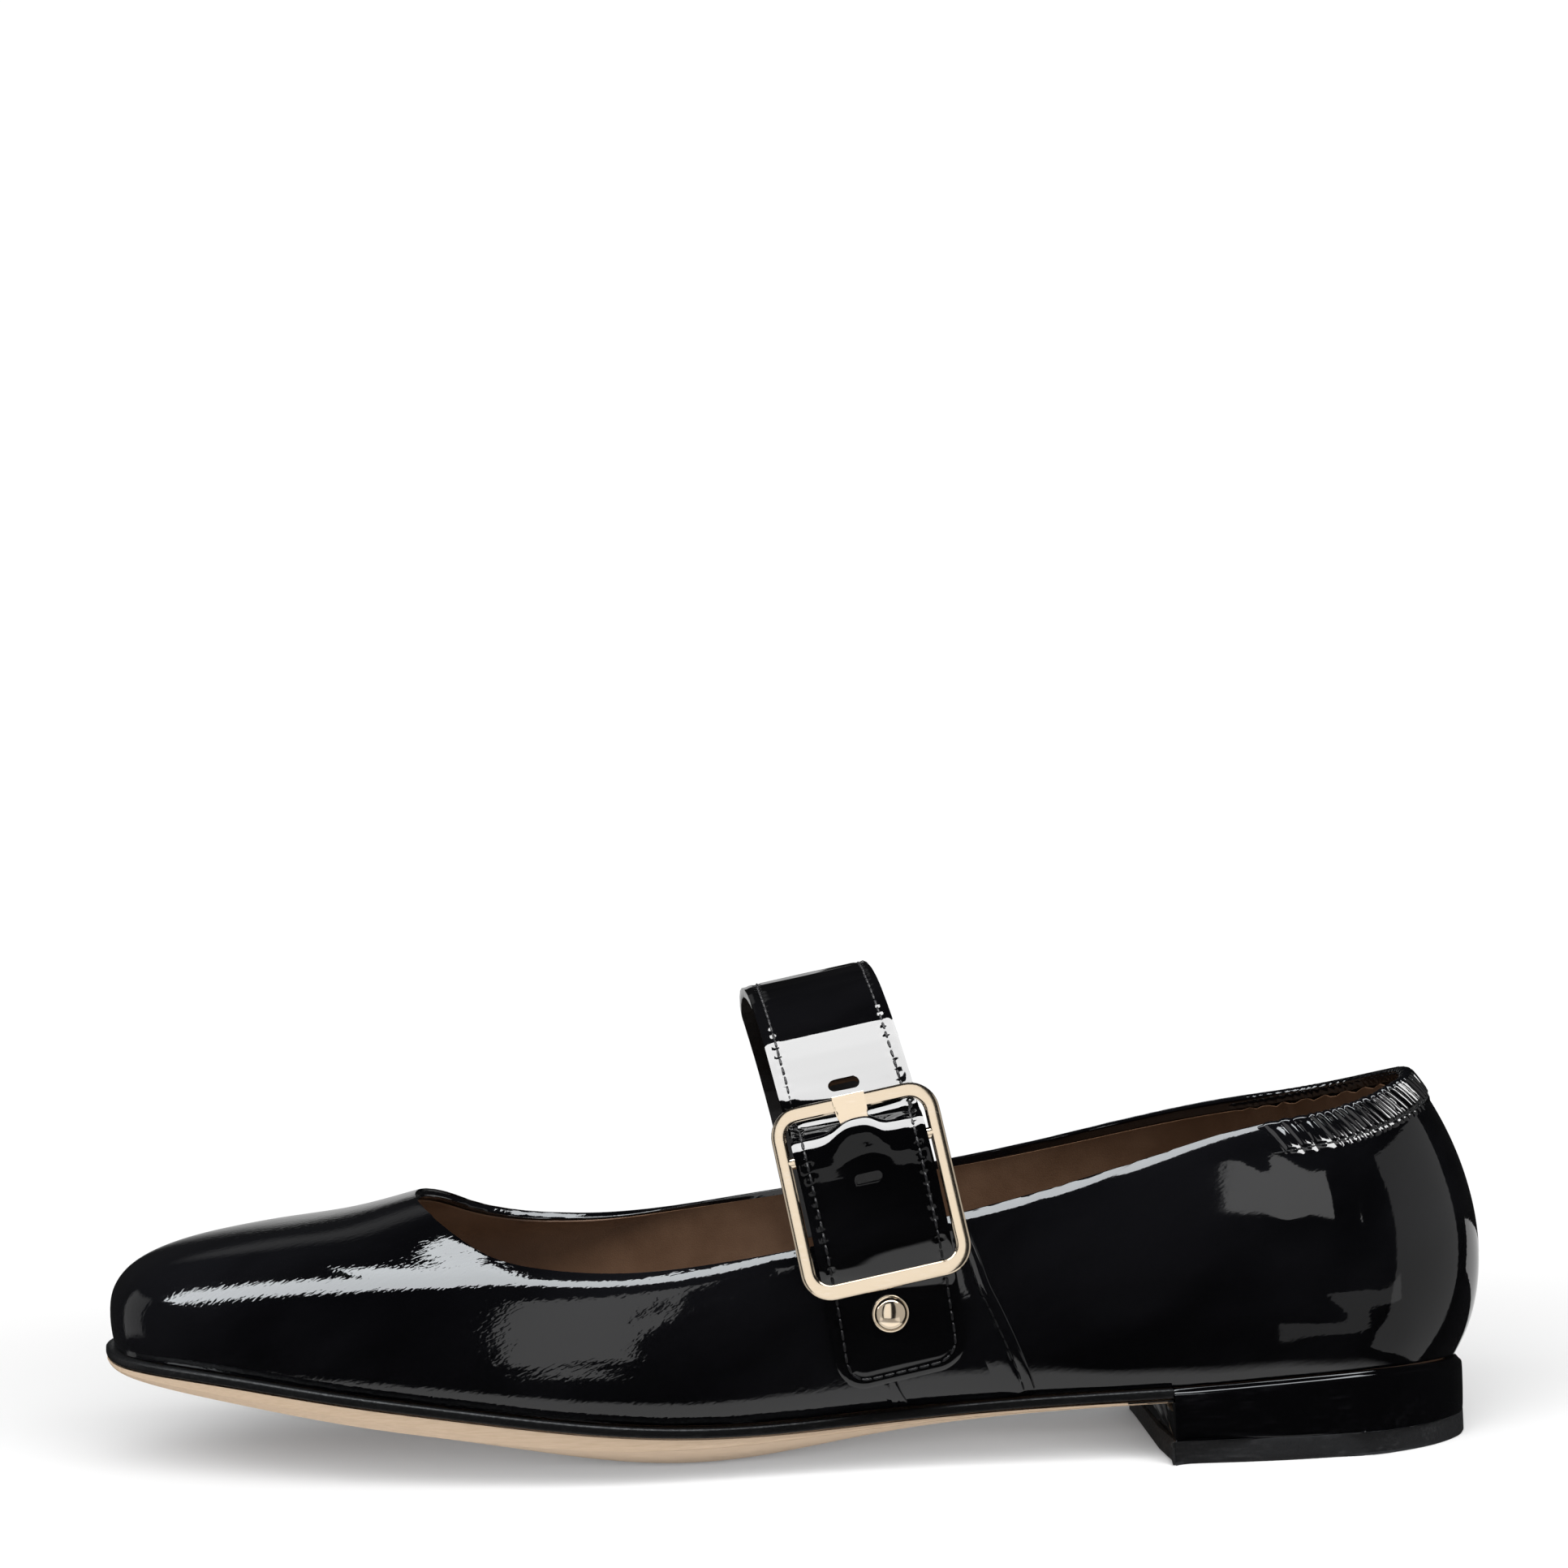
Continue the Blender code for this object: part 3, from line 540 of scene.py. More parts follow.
def patent_leather(name="patent_leather", depth=0.042 * MM, tone=1.0):
    """Black leather under a clear lacquer film, a little hazy where it was handled."""
    material, tree, shader = finish_named(name, Specular_IOR_Level=0.5, IOR=1.6)
    film = use(tree, CRINKLE, 1.0)
    marks = use(tree, SCUFF, 1.0)
    colour = blend_colours(tree, film["Haze"], (0.0012 * tone, 0.0012 * tone, 0.0016 * tone, 1),
                           (0.0045 * tone, 0.0045 * tone, 0.0055 * tone, 1))
    rough = plus(tree, times(tree, marks["Rubbed"], 0.05), times(tree, film["Haze"], 0.02))
    dress(tree, shader, colour, plus(tree, rough, 0.035), film["Height"], depth)
    return material


def soft_leather(name, light, dark, rough, depth):
    """Unlacquered leather with a fine grain, cloudy dye and darker pores."""
    material, tree, shader = finish_named(name, Specular_IOR_Level=0.35)
    hide = use(tree, HIDE, 1.5)
    dyed = blend_colours(tree, hide["Cloud"], dark + (1,), light + (1,))
    colour = blend_colours(tree, times(tree, hide["Speck"], 0.25), dyed,
                           tuple(0.55 * c for c in dark) + (1,))
    dress(tree, shader, colour, spread(tree, hide["Cloud"], 0.0, 1.0, rough - 0.08, rough + 0.08),
          hide["Height"], depth)
    return material


def burnished_sole():
    """Edge and bottom of the leather sole: fibres run along it under a thin wax."""
    material, tree, shader = finish_named("sole_leather", Specular_IOR_Level=0.4)
    fibre = mottle(tree, scaled_place(tree, stretch=(0.12, 0.6, 1.6)), 2200.0, 4.0, 0.6)
    hide = use(tree, HIDE, 0.8)
    colour = blend_colours(tree, spread(tree, fibre, 0.3, 0.7), (0.55, 0.405, 0.275, 1),
                           (0.62, 0.465, 0.33, 1))
    colour = blend_colours(tree, times(tree, hide["Cloud"], 0.3), colour,
                           (0.57, 0.425, 0.29, 1))
    dress(tree, shader, colour, spread(tree, fibre, 0.2, 0.8, 0.42, 0.62), fibre, 0.03 * MM)
    return material


def gilt():
    """Pale champagne gold plate with hairline rubbing."""
    material, tree, shader = finish_named("pale_gold", Metallic=1.0)
    marks = use(tree, SCUFF, 1.6)
    colour = blend_colours(tree, marks["Rubbed"], (0.80, 0.665, 0.50, 1), (0.86, 0.74, 0.60, 1))
    dress(tree, shader, colour, spread(tree, marks["Rubbed"], 0.0, 1.0, 0.13, 0.24), marks["Height"],
          0.001 * MM)
    return material


def gloss_heel_finish():
    """Sprayed black gloss with slow swells and fine rubbing."""
    material, tree, shader = finish_named("black_gloss_heel", Specular_IOR_Level=0.5)
    marks = use(tree, SCUFF, 0.8)
    colour = blend_colours(tree, marks["Rubbed"], (0.0016, 0.0016, 0.002, 1), (0.008, 0.008, 0.009, 1))
    dress(tree, shader, colour, spread(tree, marks["Rubbed"], 0.0, 1.0, 0.05, 0.16),
          mottle(tree, scaled_place(tree), 60.0, 1.0), 0.02 * MM)
    return material


def rubber(name, tone, rough, scale):
    """Matt rubber with a fine sandy face and paler scuffs."""
    material, tree, shader = finish_named(name, Specular_IOR_Level=0.3)
    sand = mottle(tree, scaled_place(tree), 2400.0 * scale, 4.0)
    marks = use(tree, SCUFF, 1.0)
    colour = blend_colours(tree, marks["Rubbed"], (tone, tone, tone * 1.08, 1),
                           (tone * 2.6, tone * 2.6, tone * 2.7, 1))
    dress(tree, shader, colour, spread(tree, sand, 0.3, 0.7, rough - 0.1, rough + 0.1), sand, 0.06 * MM)
    return material


def waxed_thread():
    """Black thread whose plies run slantwise round it."""
    material, tree, shader = finish_named("black_thread", Specular_IOR_Level=0.3)
    twist = node(tree, "TexWave", {"wave_type": "BANDS", "bands_direction": "DIAGONAL"},
                 Vector=scaled_place(tree), Scale=900.0, Distortion=1.0).outputs[1]
    colour = blend_colours(tree, twist, (0.003, 0.003, 0.004, 1), (0.010, 0.010, 0.011, 1))
    dress(tree, shader, colour, spread(tree, twist, 0.0, 1.0, 0.42, 0.62), twist, 0.04 * MM)
    return material


PATENT = patent_leather()
GATHERED = patent_leather("gathered_patent", 0.012 * MM)
STRAP_PATENT = patent_leather("strap_patent", 0.008 * MM, 0.3)
LINING = soft_leather("lining_leather", (0.125, 0.063, 0.031), (0.092, 0.045, 0.022), 0.55, 0.008 * MM)
SOCK = soft_leather("sock_leather", (0.14, 0.072, 0.037), (0.105, 0.053, 0.027), 0.5, 0.012 * MM)
# Inner face of the strap: black leather whose colour is pressed far below the leather's own black, as
# painted shade inside the strap's loop and its slots.
BLACK_AND_SHADED_STRAP_BACK = soft_leather("strap_lining_black_with_painted_shade", (0.004, 0.004, 0.0042), (0.0025, 0.0025, 0.0028), 0.8, 0.01 * MM)
SOLE = burnished_sole()
GOLD = gilt()
HEEL_GLOSS = gloss_heel_finish()
WELT = rubber("black_welt", 0.006, 0.38, 1.0)
LIFT = rubber("heel_rubber", 0.016, 0.75, 0.7)
THREAD = waxed_thread()


# ------------------------------------------------------------------ outlines

def rings_of(edges):
    """Edges sorted into closed rings of corner places."""
    near = {}
    for edge in edges:
        a, b = edge.verts
        near.setdefault(a.index, []).append(b)
        near.setdefault(b.index, []).append(a)
    place = {v.index: v.co.copy() for edge in edges for v in edge.verts}
    rings, left = [], set(near)
    while left:
        start = min(left)
        ring, here = [], start
        while here in left:
            left.discard(here)
            ring.append(place[here])
            onward = [v.index for v in near[here] if v.index in left]
            if not onward:
                break
            here = onward[0]
        rings.append(ring)
    return rings


def outline(node_name, above=0.0):
    """The two longest crisp rings of a node that lie above a height, the outer one first."""
    piece = copy_of(node_name, "outline_guide")
    mesh = edit(piece, "EDGE")
    rings = rings_of([e for e in bent_edges(mesh, CRISP) if min(v.co.z for v in e.verts) > above])
    put_down()
    bpy.data.objects.remove(piece)
    rings.sort(key=lambda ring: -sum((a - b).length for a, b in zip(ring, ring[1:])))
    return rings[:2]


# ------------------------------------------------------------------ upper

RIM_ABOVE = 30 * MM        # every part of the topline is higher than this


def patent_upper():
    """Shell of patent leather with a folded, softly rounded topline."""
    upper = copy_of("upper", "upper_patent")
    mesh = edit(upper, "EDGE")
    rim = [e for e in bent_edges(mesh, CRISP) if e.verts[0].co.z > RIM_ABOVE]
    choose(upper, mesh, rim, "EDGE")
    bpy.ops.mesh.bevel(offset=0.42 * MM, segments=2, affect="EDGES")
    put_down()
    crease(upper, CRISP, 0.9)
    smooth_skin(upper, 2)
    lean_topline(upper)
    tuck_under(upper)
    press_creases(upper)
    waver(upper, spacing=15 * MM, height=0.10 * MM, seed=1)
    shade(upper, 60)
    return seat(upper, PATENT, "patent_leather", "upper")


def along_ring(ring):
    """A closed ring as fine places, set out so that the nearest of them is quickly found."""
    line = closed_curve(ring, 1.0 * MM)
    tree = KDTree(len(line))
    for i, p in enumerate(line):
        tree.insert(Vector(p), i)
    tree.balance()
    return tree


# How far the topline closes towards the foot, in millimetres, by s: outer and inner side.
LEAN_OUTER = ([5, 38, 60, 100, 140, 175, 195], [0.25, 0.5, 1.25, 1.25, 1.0, 0.6, 0.2])
LEAN_INNER = ([5, 60, 85, 95, 130, 140, 195], [0.2, 0.35, 0.3, 0.0, 0.0, 0.3, 0.2])
LEAN_DEPTH = 3.8           # down to here below the topline
TUCK_REACH = ([20, 80, 120, 235, 250], [0.1, 0.3, 0.9, 0.9, 0.4])   # the same at the upper's foot
TUCK_HEIGHT = 5.0


def lean_topline(piece):
    """The topline closes softly towards the foot over its last few millimetres."""
    outside, inside = (along_ring(ring) for ring in RIM_RINGS)
    at = corners(piece)
    for i in np.nonzero(at[:, 2] > RIM_ABOVE)[0]:
        outer, _, far_out = outside.find(Vector(at[i]))
        inner, _, far_in = inside.find(Vector(at[i]))
        share = max(0.0, 1 - min(far_out, far_in) / (LEAN_DEPTH * MM)) ** 2
        if share == 0:
            continue
        lean = np.interp(s_of(at[i][0]), *(LEAN_OUTER if outer.y < 0 else LEAN_INNER))
        way = inner - outer
        way.z = 0
        at[i] += np.array(way.normalized()) * lean * share * MM
    set_corners(piece, at)


def tuck_under(piece):
    """The upper turns in towards the welt over its lowest few millimetres."""
    feather = along_ring(FEATHER_RING)
    at, lean = corners(piece), leaning(piece)
    for i in np.nonzero(at[:, 2] < RIM_ABOVE)[0]:
        _, _, far = feather.find(Vector(at[i]))
        share = max(0.0, 1 - far / (TUCK_HEIGHT * MM)) ** 2
        way = np.array([lean[i][0], lean[i][1], 0.0])
        level = np.linalg.norm(way)
        if share and level > 0.4:
            at[i] -= way / level * np.interp(s_of(at[i][0]), *TUCK_REACH) * share * MM
    set_corners(piece, at)


# Soft troughs on the outer side: places as (s, z), depth and half width.
CREASES = [
    ([(25.6, 50.0), (25.0, 46.0), (25.2, 40.0), (26.8, 33.5)], 0.20, 1.9),
    ([(97.0, 23.0), (79.0, 26.5), (67.0, 29.7), (51.0, 29.4), (37.7, 29.3), (25.5, 25.5), (19.0, 22.0)],
     0.14, 2.3),
    ([(41.5, 54.0), (38.5, 50.5), (37.0, 45.5)], 0.14, 1.8),
    ([(152.0, 28.6), (139.0, 32.6), (127.0, 37.0)], 0.07, 1.1),
    ([(170.0, 24.0), (158.0, 27.0), (146.0, 32.0)], 0.06, 1.2),
    ([(176.0, 20.5), (164.0, 21.5), (151.0, 20.0)], 0.06, 1.6),
]


def press_creases(piece):
    """Presses the creases in, each with a low ridge on both of its sides."""
    at, lean = corners(piece), leaning(piece)
    s, z = s_of(at[:, 0]), at[:, 2] / MM
    outer = np.clip((-lean[:, 1] - 0.1) / 0.3, 0, 1)
    push = np.zeros(len(at))
    for points, depth, half in CREASES:
        line = curve_through(points, 0.5)
        gap = np.min(np.hypot(s[:, None] - line[None, :, 0], z[:, None] - line[None, :, 1]), axis=1)
        push -= depth * (bell(gap, 0, half) - 0.4 * bell(gap, 2 * half, half))
    set_corners(piece, at + lean * (push * outer * MM)[:, None])


LINING_WALL = 0.30

# How far the patent leather turns in over the topline before the lining starts, by s.
TURNED_IN = ([8, 25, 60, 110, 160, 195], [2.2, 2.2, 2.0, 1.6, 1.1, 1.3])


def inner_face(name):
    """The inner face of the upper as an open sheet."""
    sheet = copy_of("upper", name)
    mesh = edit(sheet, "EDGE")
    choose(sheet, mesh, bent_edges(mesh, CRISP), "EDGE")
    bpy.ops.mesh.mark_sharp()
    seeds = [f for f in mesh.faces if abs(f.calc_center_median().x) < 20 * MM
             and f.normal.y * f.calc_center_median().y < 0 and abs(f.normal.y) > 0.7]
    choose(sheet, mesh, seeds[:1])
    bpy.ops.mesh.select_linked(delimit={"SHARP"})
    bpy.ops.mesh.select_all(action="INVERT")
    bpy.ops.mesh.delete(type="FACE")
    put_down()
    return sheet


def lining():
    """Tan leather skin inside the upper, from just under the folded topline down."""
    sheet = inner_face("lining_skin")
    mesh = edit(sheet, "VERT")
    mesh.verts.ensure_lookup_table()
    moves = []
    for v in mesh.verts:
        if v.is_boundary and v.co.z > RIM_ABOVE:
            down = [e.other_vert(v) for e in v.link_edges if not e.other_vert(v).is_boundary]
            path = down[0].co - v.co
            turned_in = np.interp(s_of(v.co.x), *TURNED_IN) * MM
            moves.append((v, v.co + path.normalized() * min(turned_in, 0.8 * path.length)))
    for v, place in moves:
        v.co = place
    bpy.ops.mesh.select_all(action="SELECT")
    bpy.ops.transform.shrink_fatten(value=0.12 * MM)
    put_down()
    smooth_skin(sheet, 2, rounds=0)
    lean_topline(sheet)
    gather_lining(sheet)
    finish_with(sheet, "SOLIDIFY", thickness=LINING_WALL * MM, offset=1.0)
    shade(sheet, 50)
    return seat(sheet, LINING, "sock_leather")


GATHER_S, GATHER_Z = 38.0, 46.0         # the folds lie behind and above these
GATHER_DEPTH, RIM_WAVER = 0.28, 0.35    # of a fold, and of the lining's edge up and down
HEEL_ROUND_S, HEEL_ROUND = 48.0, 40.0   # middle and radius of the arc that the folds are counted on


def gather_lining(sheet):
    """Small soft folds where the elastic draws the lining in at the back."""
    at, lean = corners(sheet), leaning(sheet)
    around = np.arctan2(at[:, 1] - AXIS_Y * MM, at[:, 0] - x_of(HEEL_ROUND_S)) * HEEL_ROUND
    wave = np.sin(around * 2.1) * 0.5 + np.sin(around * 3.7 + 1.3) * 0.35 + np.sin(around * 0.9 + 0.4) * 0.4
    near_heel = np.clip((GATHER_S - s_of(at[:, 0])) / 8, 0, 1)
    height = np.clip((at[:, 2] / MM - GATHER_Z) / 12, 0, 1)
    at += lean * (GATHER_DEPTH * MM * wave * near_heel * height)[:, None]
    at[:, 2] += RIM_WAVER * MM * np.sin(around * 1.4 + 0.8) * near_heel * height ** 3
    set_corners(sheet, at)


# ------------------------------------------------------------------ collar elastic

ELASTIC_FROM_S, ELASTIC_TO_S = 41.4, 38.0      # front ends, outer and inner side
ELASTIC_DEPTH = 5.9                            # stitch line below the topline
CASING_FOOT, CASING_INSIDE = 7.4, 2.9          # its lower edges, outside and inside the shoe
CASING_WALL = 0.18
FOLD_LEAN = 0.42                               # folds run back as they go down
FIRST_FOLDS = ((1.0, 0.3), (3.2, 0.55), (2.6, 0.75), (3.4, 0.65))    # wide low ones at the front
FINE_STEP = 0.25                               # between places round the rim
BURIED = 0.10                                  # the casing's edges sink this far into the skin
# Lift of the casing between folds, and what a full fold adds.
OUTSIDE_LIFT, TOP_LIFT, INSIDE_LIFT = (0.14, 0.62), (0.12, 0.42), (0.12, 0.14)
ROUND_DROP = 0.55                              # the wall's top is rounded from here up


def collar_line():
    """Rim places from the outer front end of the elastic round the heel to the inner one.

    For each of them: middle of the wall's top, half its width, outward and down."""
    outer = closed_curve(RIM_RINGS[0], FINE_STEP * MM)[:-1]
    inner = closed_curve(RIM_RINGS[1], FINE_STEP * MM)
    s, y, count = s_of(outer[:, 0]), outer[:, 1], len(outer)
    start = int(np.argmin(np.hypot(s - ELASTIC_FROM_S, np.where(y < 0, 0, 99))))
    end = int(np.argmin(np.hypot(s - ELASTIC_TO_S, np.where(y > 0, 0, 99))))
    step = 1 if (end - start) % count < (start - end) % count else -1
    places = []
    for i in np.arange(start, start + step * ((end - start) * step % count), step) % count:
        along = Vector(outer[(i + 2 * step) % count] - outer[(i - 2 * step) % count]).normalized()
        near = Vector(inner[np.argmin(np.linalg.norm(inner - outer[i], axis=1))])
        out = Vector(outer[i]) - near
        middle, half = (Vector(outer[i]) + near) / 2, out.length / 2
        out = (out - along * out.dot(along)).normalized()
        down = along.cross(out)
        places.append((middle, half, out, down if down.z < 0 else -down))
    return places


def fold_pattern(length):
    """Edges and heights of the gathered folds along the elastic, in millimetres."""
    dice = np.random.default_rng(11)
    widths = [width for width, _ in FIRST_FOLDS]
    while sum(widths) < length:
        widths.append(dice.uniform(1.15, 2.1))
    heights = dice.uniform(0.7, 1.1, len(widths))
    heights[:len(FIRST_FOLDS)] = [height for _, height in FIRST_FOLDS]
    return np.concatenate([[0], np.cumsum(widths)]), heights


def fold_height(pattern, along):
    edges, heights = pattern
    k = int(np.clip(np.searchsorted(edges, along, side="right") - 1, 0, len(heights) - 1))
    share = np.clip((along - edges[k]) / (edges[k + 1] - edges[k]), 0, 1)
    return heights[k] * math.sin(math.pi * share ** 0.85) ** 0.9


def between(places, step):
    """The rim place at a step that may lie between two of the list."""
    first = min(max(int(step), 0), len(places) - 2)
    share = min(max(step - first, 0.0), 1.0)
    return [a + (b - a) * share for a, b in zip(places[first], places[first + 1])]


def outer_foot(skin, place, depth):
    """The upper's outer face at a depth below a rim place, and which way it leans."""
    middle, half, out, down = place
    return skin.nearest(middle + out * (half + 1.2 * MM) + down * depth * MM)


def casing_section(skin, places, pattern, i):
    """Places across the casing at one rim place: up the outside, over the top, down inside."""
    fade = min(1.0, min(i, len(places) - 1 - i) * FINE_STEP / 1.6)
    turn = float(np.clip((len(places) / 2 - i) * FINE_STEP / 9, -1, 1))
    fold = fold_height(pattern, i * FINE_STEP)
    section = []
    for depth in np.concatenate([np.linspace(CASING_FOOT, 5.2, 9), np.linspace(4.8, 0.9, 10)]):
        pinch = 1 - 0.85 * bell(depth, ELASTIC_DEPTH, 0.35)
        tail = float(np.interp(depth, [ELASTIC_DEPTH, 6.4, CASING_FOOT], [1.0, 0.55, 0.0])) * fade
        foot, lean = outer_foot(skin, between(places, i + turn * FOLD_LEAN * depth / FINE_STEP), depth)
        lift = OUTSIDE_LIFT[0] + OUTSIDE_LIFT[1] * fold * pinch
        section.append(foot + lean * (lift * tail - BURIED * (1 - tail)) * MM)
    middle, half, out, down = places[i]
    calm = float(np.interp(turn, [-1, 0.5], [0.3, 1.0]))
    lift = (TOP_LIFT[0] + TOP_LIFT[1] * fold * calm) * fade - TOP_LIFT[0] * (1 - fade)
    for angle in np.linspace(0, math.pi, 9):
        across = out * math.cos(angle) * (half + lift * MM)
        rise = ROUND_DROP - math.sin(angle) * (ROUND_DROP + lift)
        section.append(middle + across + down * rise * MM)
    fold_in = fold_height(pattern, i * FINE_STEP + 0.4)
    for depth in np.linspace(0.9, CASING_INSIDE, 7):
        tail = float(np.interp(depth, [1.5, CASING_INSIDE], [1.0, 0.0])) * fade
        foot, lean = skin.nearest(middle - out * (half + 1.0 * MM) + down * depth * MM)
        lift = INSIDE_LIFT[0] + INSIDE_LIFT[1] * fold_in
        section.append(foot + lean * (lift * tail - BURIED * (1 - tail)) * MM)
    return section


def gathered_collar(skin):
    """Elastic casing folded over the back of the topline, drawn into small pleats."""
    places = collar_line()
    pattern = fold_pattern(len(places) * FINE_STEP)
    sections = [casing_section(skin, places, pattern, i) for i in range(len(places))]
    collar = grid_sheet("gathered_collar", len(places), len(sections[0]), sum(sections, []))
    first_pleats = 400                         # faces on the outer side of the shoe
    face_outward(collar, lambda face: face.index < first_pleats)
    finish_with(collar, "SOLIDIFY", thickness=CASING_WALL * MM, offset=-1.0)
    shade(collar, 70)
    seat(collar, GATHERED, "patent_leather")
    feet = [outer_foot(skin, place, ELASTIC_DEPTH) for place in places]
    line = np.array([foot + lean * 0.20 * MM for foot, lean in feet])[4:-4]
    casing = Skin(collar)
    even = read_evenly(line, int(length_of(line) / (COLLAR_STITCH.pitch * MM)))
    stitch_row("collar_stitches", [(Vector(p), casing.nearest(Vector(p))[1]) for p in even], COLLAR_STITCH)


# ------------------------------------------------------------------ seams

# Lines of the seams as (s, z), from the top down.
SIDE_SEAM = [(94.9, 45.6), (93.6, 41.5), (92.2, 37.8), (90.6, 33.0), (88.4, 28.4), (86.0, 23.0),
             (83.8, 17.5), (82.8, 14.4)]
TAB_SEAM = [(107.6, 17.6), (106.4, 14.6), (105.2, 12.4)]


def lapped_seam(name, skin, line, side, edge=0.42, reach=7.0, groove=2.0, stitched=True):
    """One panel laid over the next: a crisp edge, a stitched groove and a soft run-out."""
    profile = [(-0.02, -0.20), (0.0, edge * 0.55), (0.16, edge * 0.92), (0.5, edge), (1.1, edge * 0.96),
               (groove - 0.35, edge * 0.80), (groove, edge * 0.55), (groove + 0.35, edge * 0.80),
               (groove + 1.0, edge * 0.84), (reach * 0.62, edge * 0.50), (reach * 0.8, edge * 0.18),
               (reach * 0.93, edge * 0.03), (reach, -0.08)]
    strip = laid_strip(name, skin, seam_on(skin, line, side, 0.6),
                       [(side * left * MM, height * MM) for left, height in profile])
    face_outward(strip)
    finish_with(strip, "SOLIDIFY", thickness=0.15 * MM, offset=-1.0)
    shade(strip, 40)
    seat(strip, PATENT, "patent_leather")
    if stitched:
        places = seam_on(skin, line, side, SEAM_STITCH.pitch)
        feet = [skin.nearest(spot + left * side * groove * MM)
                for (spot, _), left in zip(places, lefts_of(places))]
        row = [(foot + up * edge * 0.62 * MM, up) for foot, up in feet]
        stitch_row(name + "_stitches", row, SEAM_STITCH)


# ------------------------------------------------------------------ bottom

EDGE_PAINT_FROM = 58 * MM      # x behind which the edges are painted


def black_edges(piece):
    """Black edge paint where the heel seat's layers show beside the upper."""
    piece.data.materials.append(WELT)
    for face in piece.data.polygons:
        if face.center.x > EDGE_PAINT_FROM and abs(face.normal.z) < 0.8:
            face.material_index = 1
    return piece


def padded_sock():
    sock = copy_of("insole", "sock")
    crease(sock, 55, 0.7)
    smooth_skin(sock, 2)
    shade(sock, 50)
    sock.data.materials.append(SOCK)
    black_edges(sock)
    return seat(sock, SOCK, "sock_leather", "insole")


def refined(node_name, name, material, slot, least, amount=1.0):
    """A node's own shape with its facets smoothed and its crisp edges kept."""
    piece = copy_of(node_name, name)
    crease(piece, least, amount)
    smooth_skin(piece, 2)
    shade(piece, least)
    return seat(piece, material, slot, node_name)


# ------------------------------------------------------------------ strap

STRAP_FOOT_S, STRAP_SLOPE, STRAP_SWEEP = 104.2, 0.075, 0.00124


def strap_centre_s(z):
    """The strap's centreline runs forward as it rises, and a little more the higher it is."""
    return STRAP_FOOT_S + STRAP_SLOPE * z + STRAP_SWEEP * z ** 2


def strap_across(place):
    """How far places lie from the strap's centreline, towards the heel, in millimetres."""
    s, z = s_of(place[..., 0]), place[..., 2] / MM
    across = (strap_centre_s(z) - s) / math.cos(STRAP_TILT)
    for _ in range(3):
        across = (strap_centre_s(z - across * math.sin(STRAP_TILT)) - s) / math.cos(STRAP_TILT)
    return across


STRAP_HALF = 11.7                             # half the strap's width
STRAP_WALL = 1.7
TAB_END, TAB_TOP, TAB_CORNER = 17.0, 27.0, 5.5    # heights, and the radius of its corners
TAB_MIDDLE = np.array((17.9, -36.5, 25.0)) * MM
TAB_REACH = (11.56, 11.68)                    # half widths of its face, towards the toe and the heel
JUST_INSIDE = 0.994                           # share of them where a needle still meets the face
OUTER_FACE = -20 * MM                         # the strap's outer run lies beyond this y
STITCH_INSET, GROOVE_INSET = 1.95, 1.9        # from the strap's edge
ROW, COLUMNS = 0.5, 44                        # length of a row of faces, places across the strap
SLOTS = ((52.7, 4.9, 1.7), (68.4, 5.6, 2.3))  # place up the strap, length and height of each slot
PRONG_SLOT = (60.6, 6.0, 3.2)
ALONG_STRAP = Vector((math.cos(STRAP_TILT), 0, math.sin(STRAP_TILT)))    # level across its face


def strap_height(place):
    """Height of the strap's centreline level with places on the tab, in millimetres."""
    return place[..., 2] / MM - strap_across(place) * math.sin(STRAP_TILT)


def on_tab(place):
    return (place[..., 1] < OUTER_FACE) & (strap_height(place) < TAB_TOP)


def strap_inset(place):
    """How far places lie inside the strap's outline, in millimetres."""
    side, height = np.abs(strap_across(place)), strap_height(place)
    over, below = side - (STRAP_HALF - TAB_CORNER), TAB_END + TAB_CORNER - height
    at_corner = TAB_CORNER - np.hypot(over, below)
    at_end = np.minimum(STRAP_HALF - side, height - TAB_END)
    return np.where(on_tab(place), np.where((over > 0) & (below > 0), at_corner, at_end), STRAP_HALF - side)


def rounded_in(guide, spot):
    """A place of a square-ended strip moved inside the tab's round corners, on its face."""
    height = strap_height(spot)
    across = strap_across(spot) * JUST_INSIDE
    over, below = abs(across) - (STRAP_HALF - TAB_CORNER), TAB_END + TAB_CORNER - height
    if over > 0 and below > 0:
        draw_in = max(over, below) / math.hypot(over, below)
        across = math.copysign(STRAP_HALF - TAB_CORNER + over * draw_in, across)
        height = TAB_END + TAB_CORNER - below * draw_in
    s = strap_centre_s(height) - across * math.cos(STRAP_TILT)
    z = height + across * math.sin(STRAP_TILT)
    hit = guide.from_side(s, z, OUTER)
    if hit and hit[0].y < -30 * MM:
        return hit[0]
    return guide.nearest(Vector((x_of(s), spot[1], z * MM)))[0]


def squared_side(line):
    """A side of the strap carried straight down past the tab's round corner."""
    toward = TAB_REACH[1] if strap_across(line[-1]) > 0 else -TAB_REACH[0]
    free = [p for p in line if p[1] > 0 or strap_height(p) > TAB_END + TAB_CORNER + 0.5]
    added = []
    for height in np.arange(TAB_END + 0.03, TAB_END + TAB_CORNER + 0.4, 0.7):
        x = x_of(strap_centre_s(height) - toward * math.cos(STRAP_TILT))
        added.append(np.array((x, free[0][1], (height + toward * math.sin(STRAP_TILT)) * MM)))
    return added + free


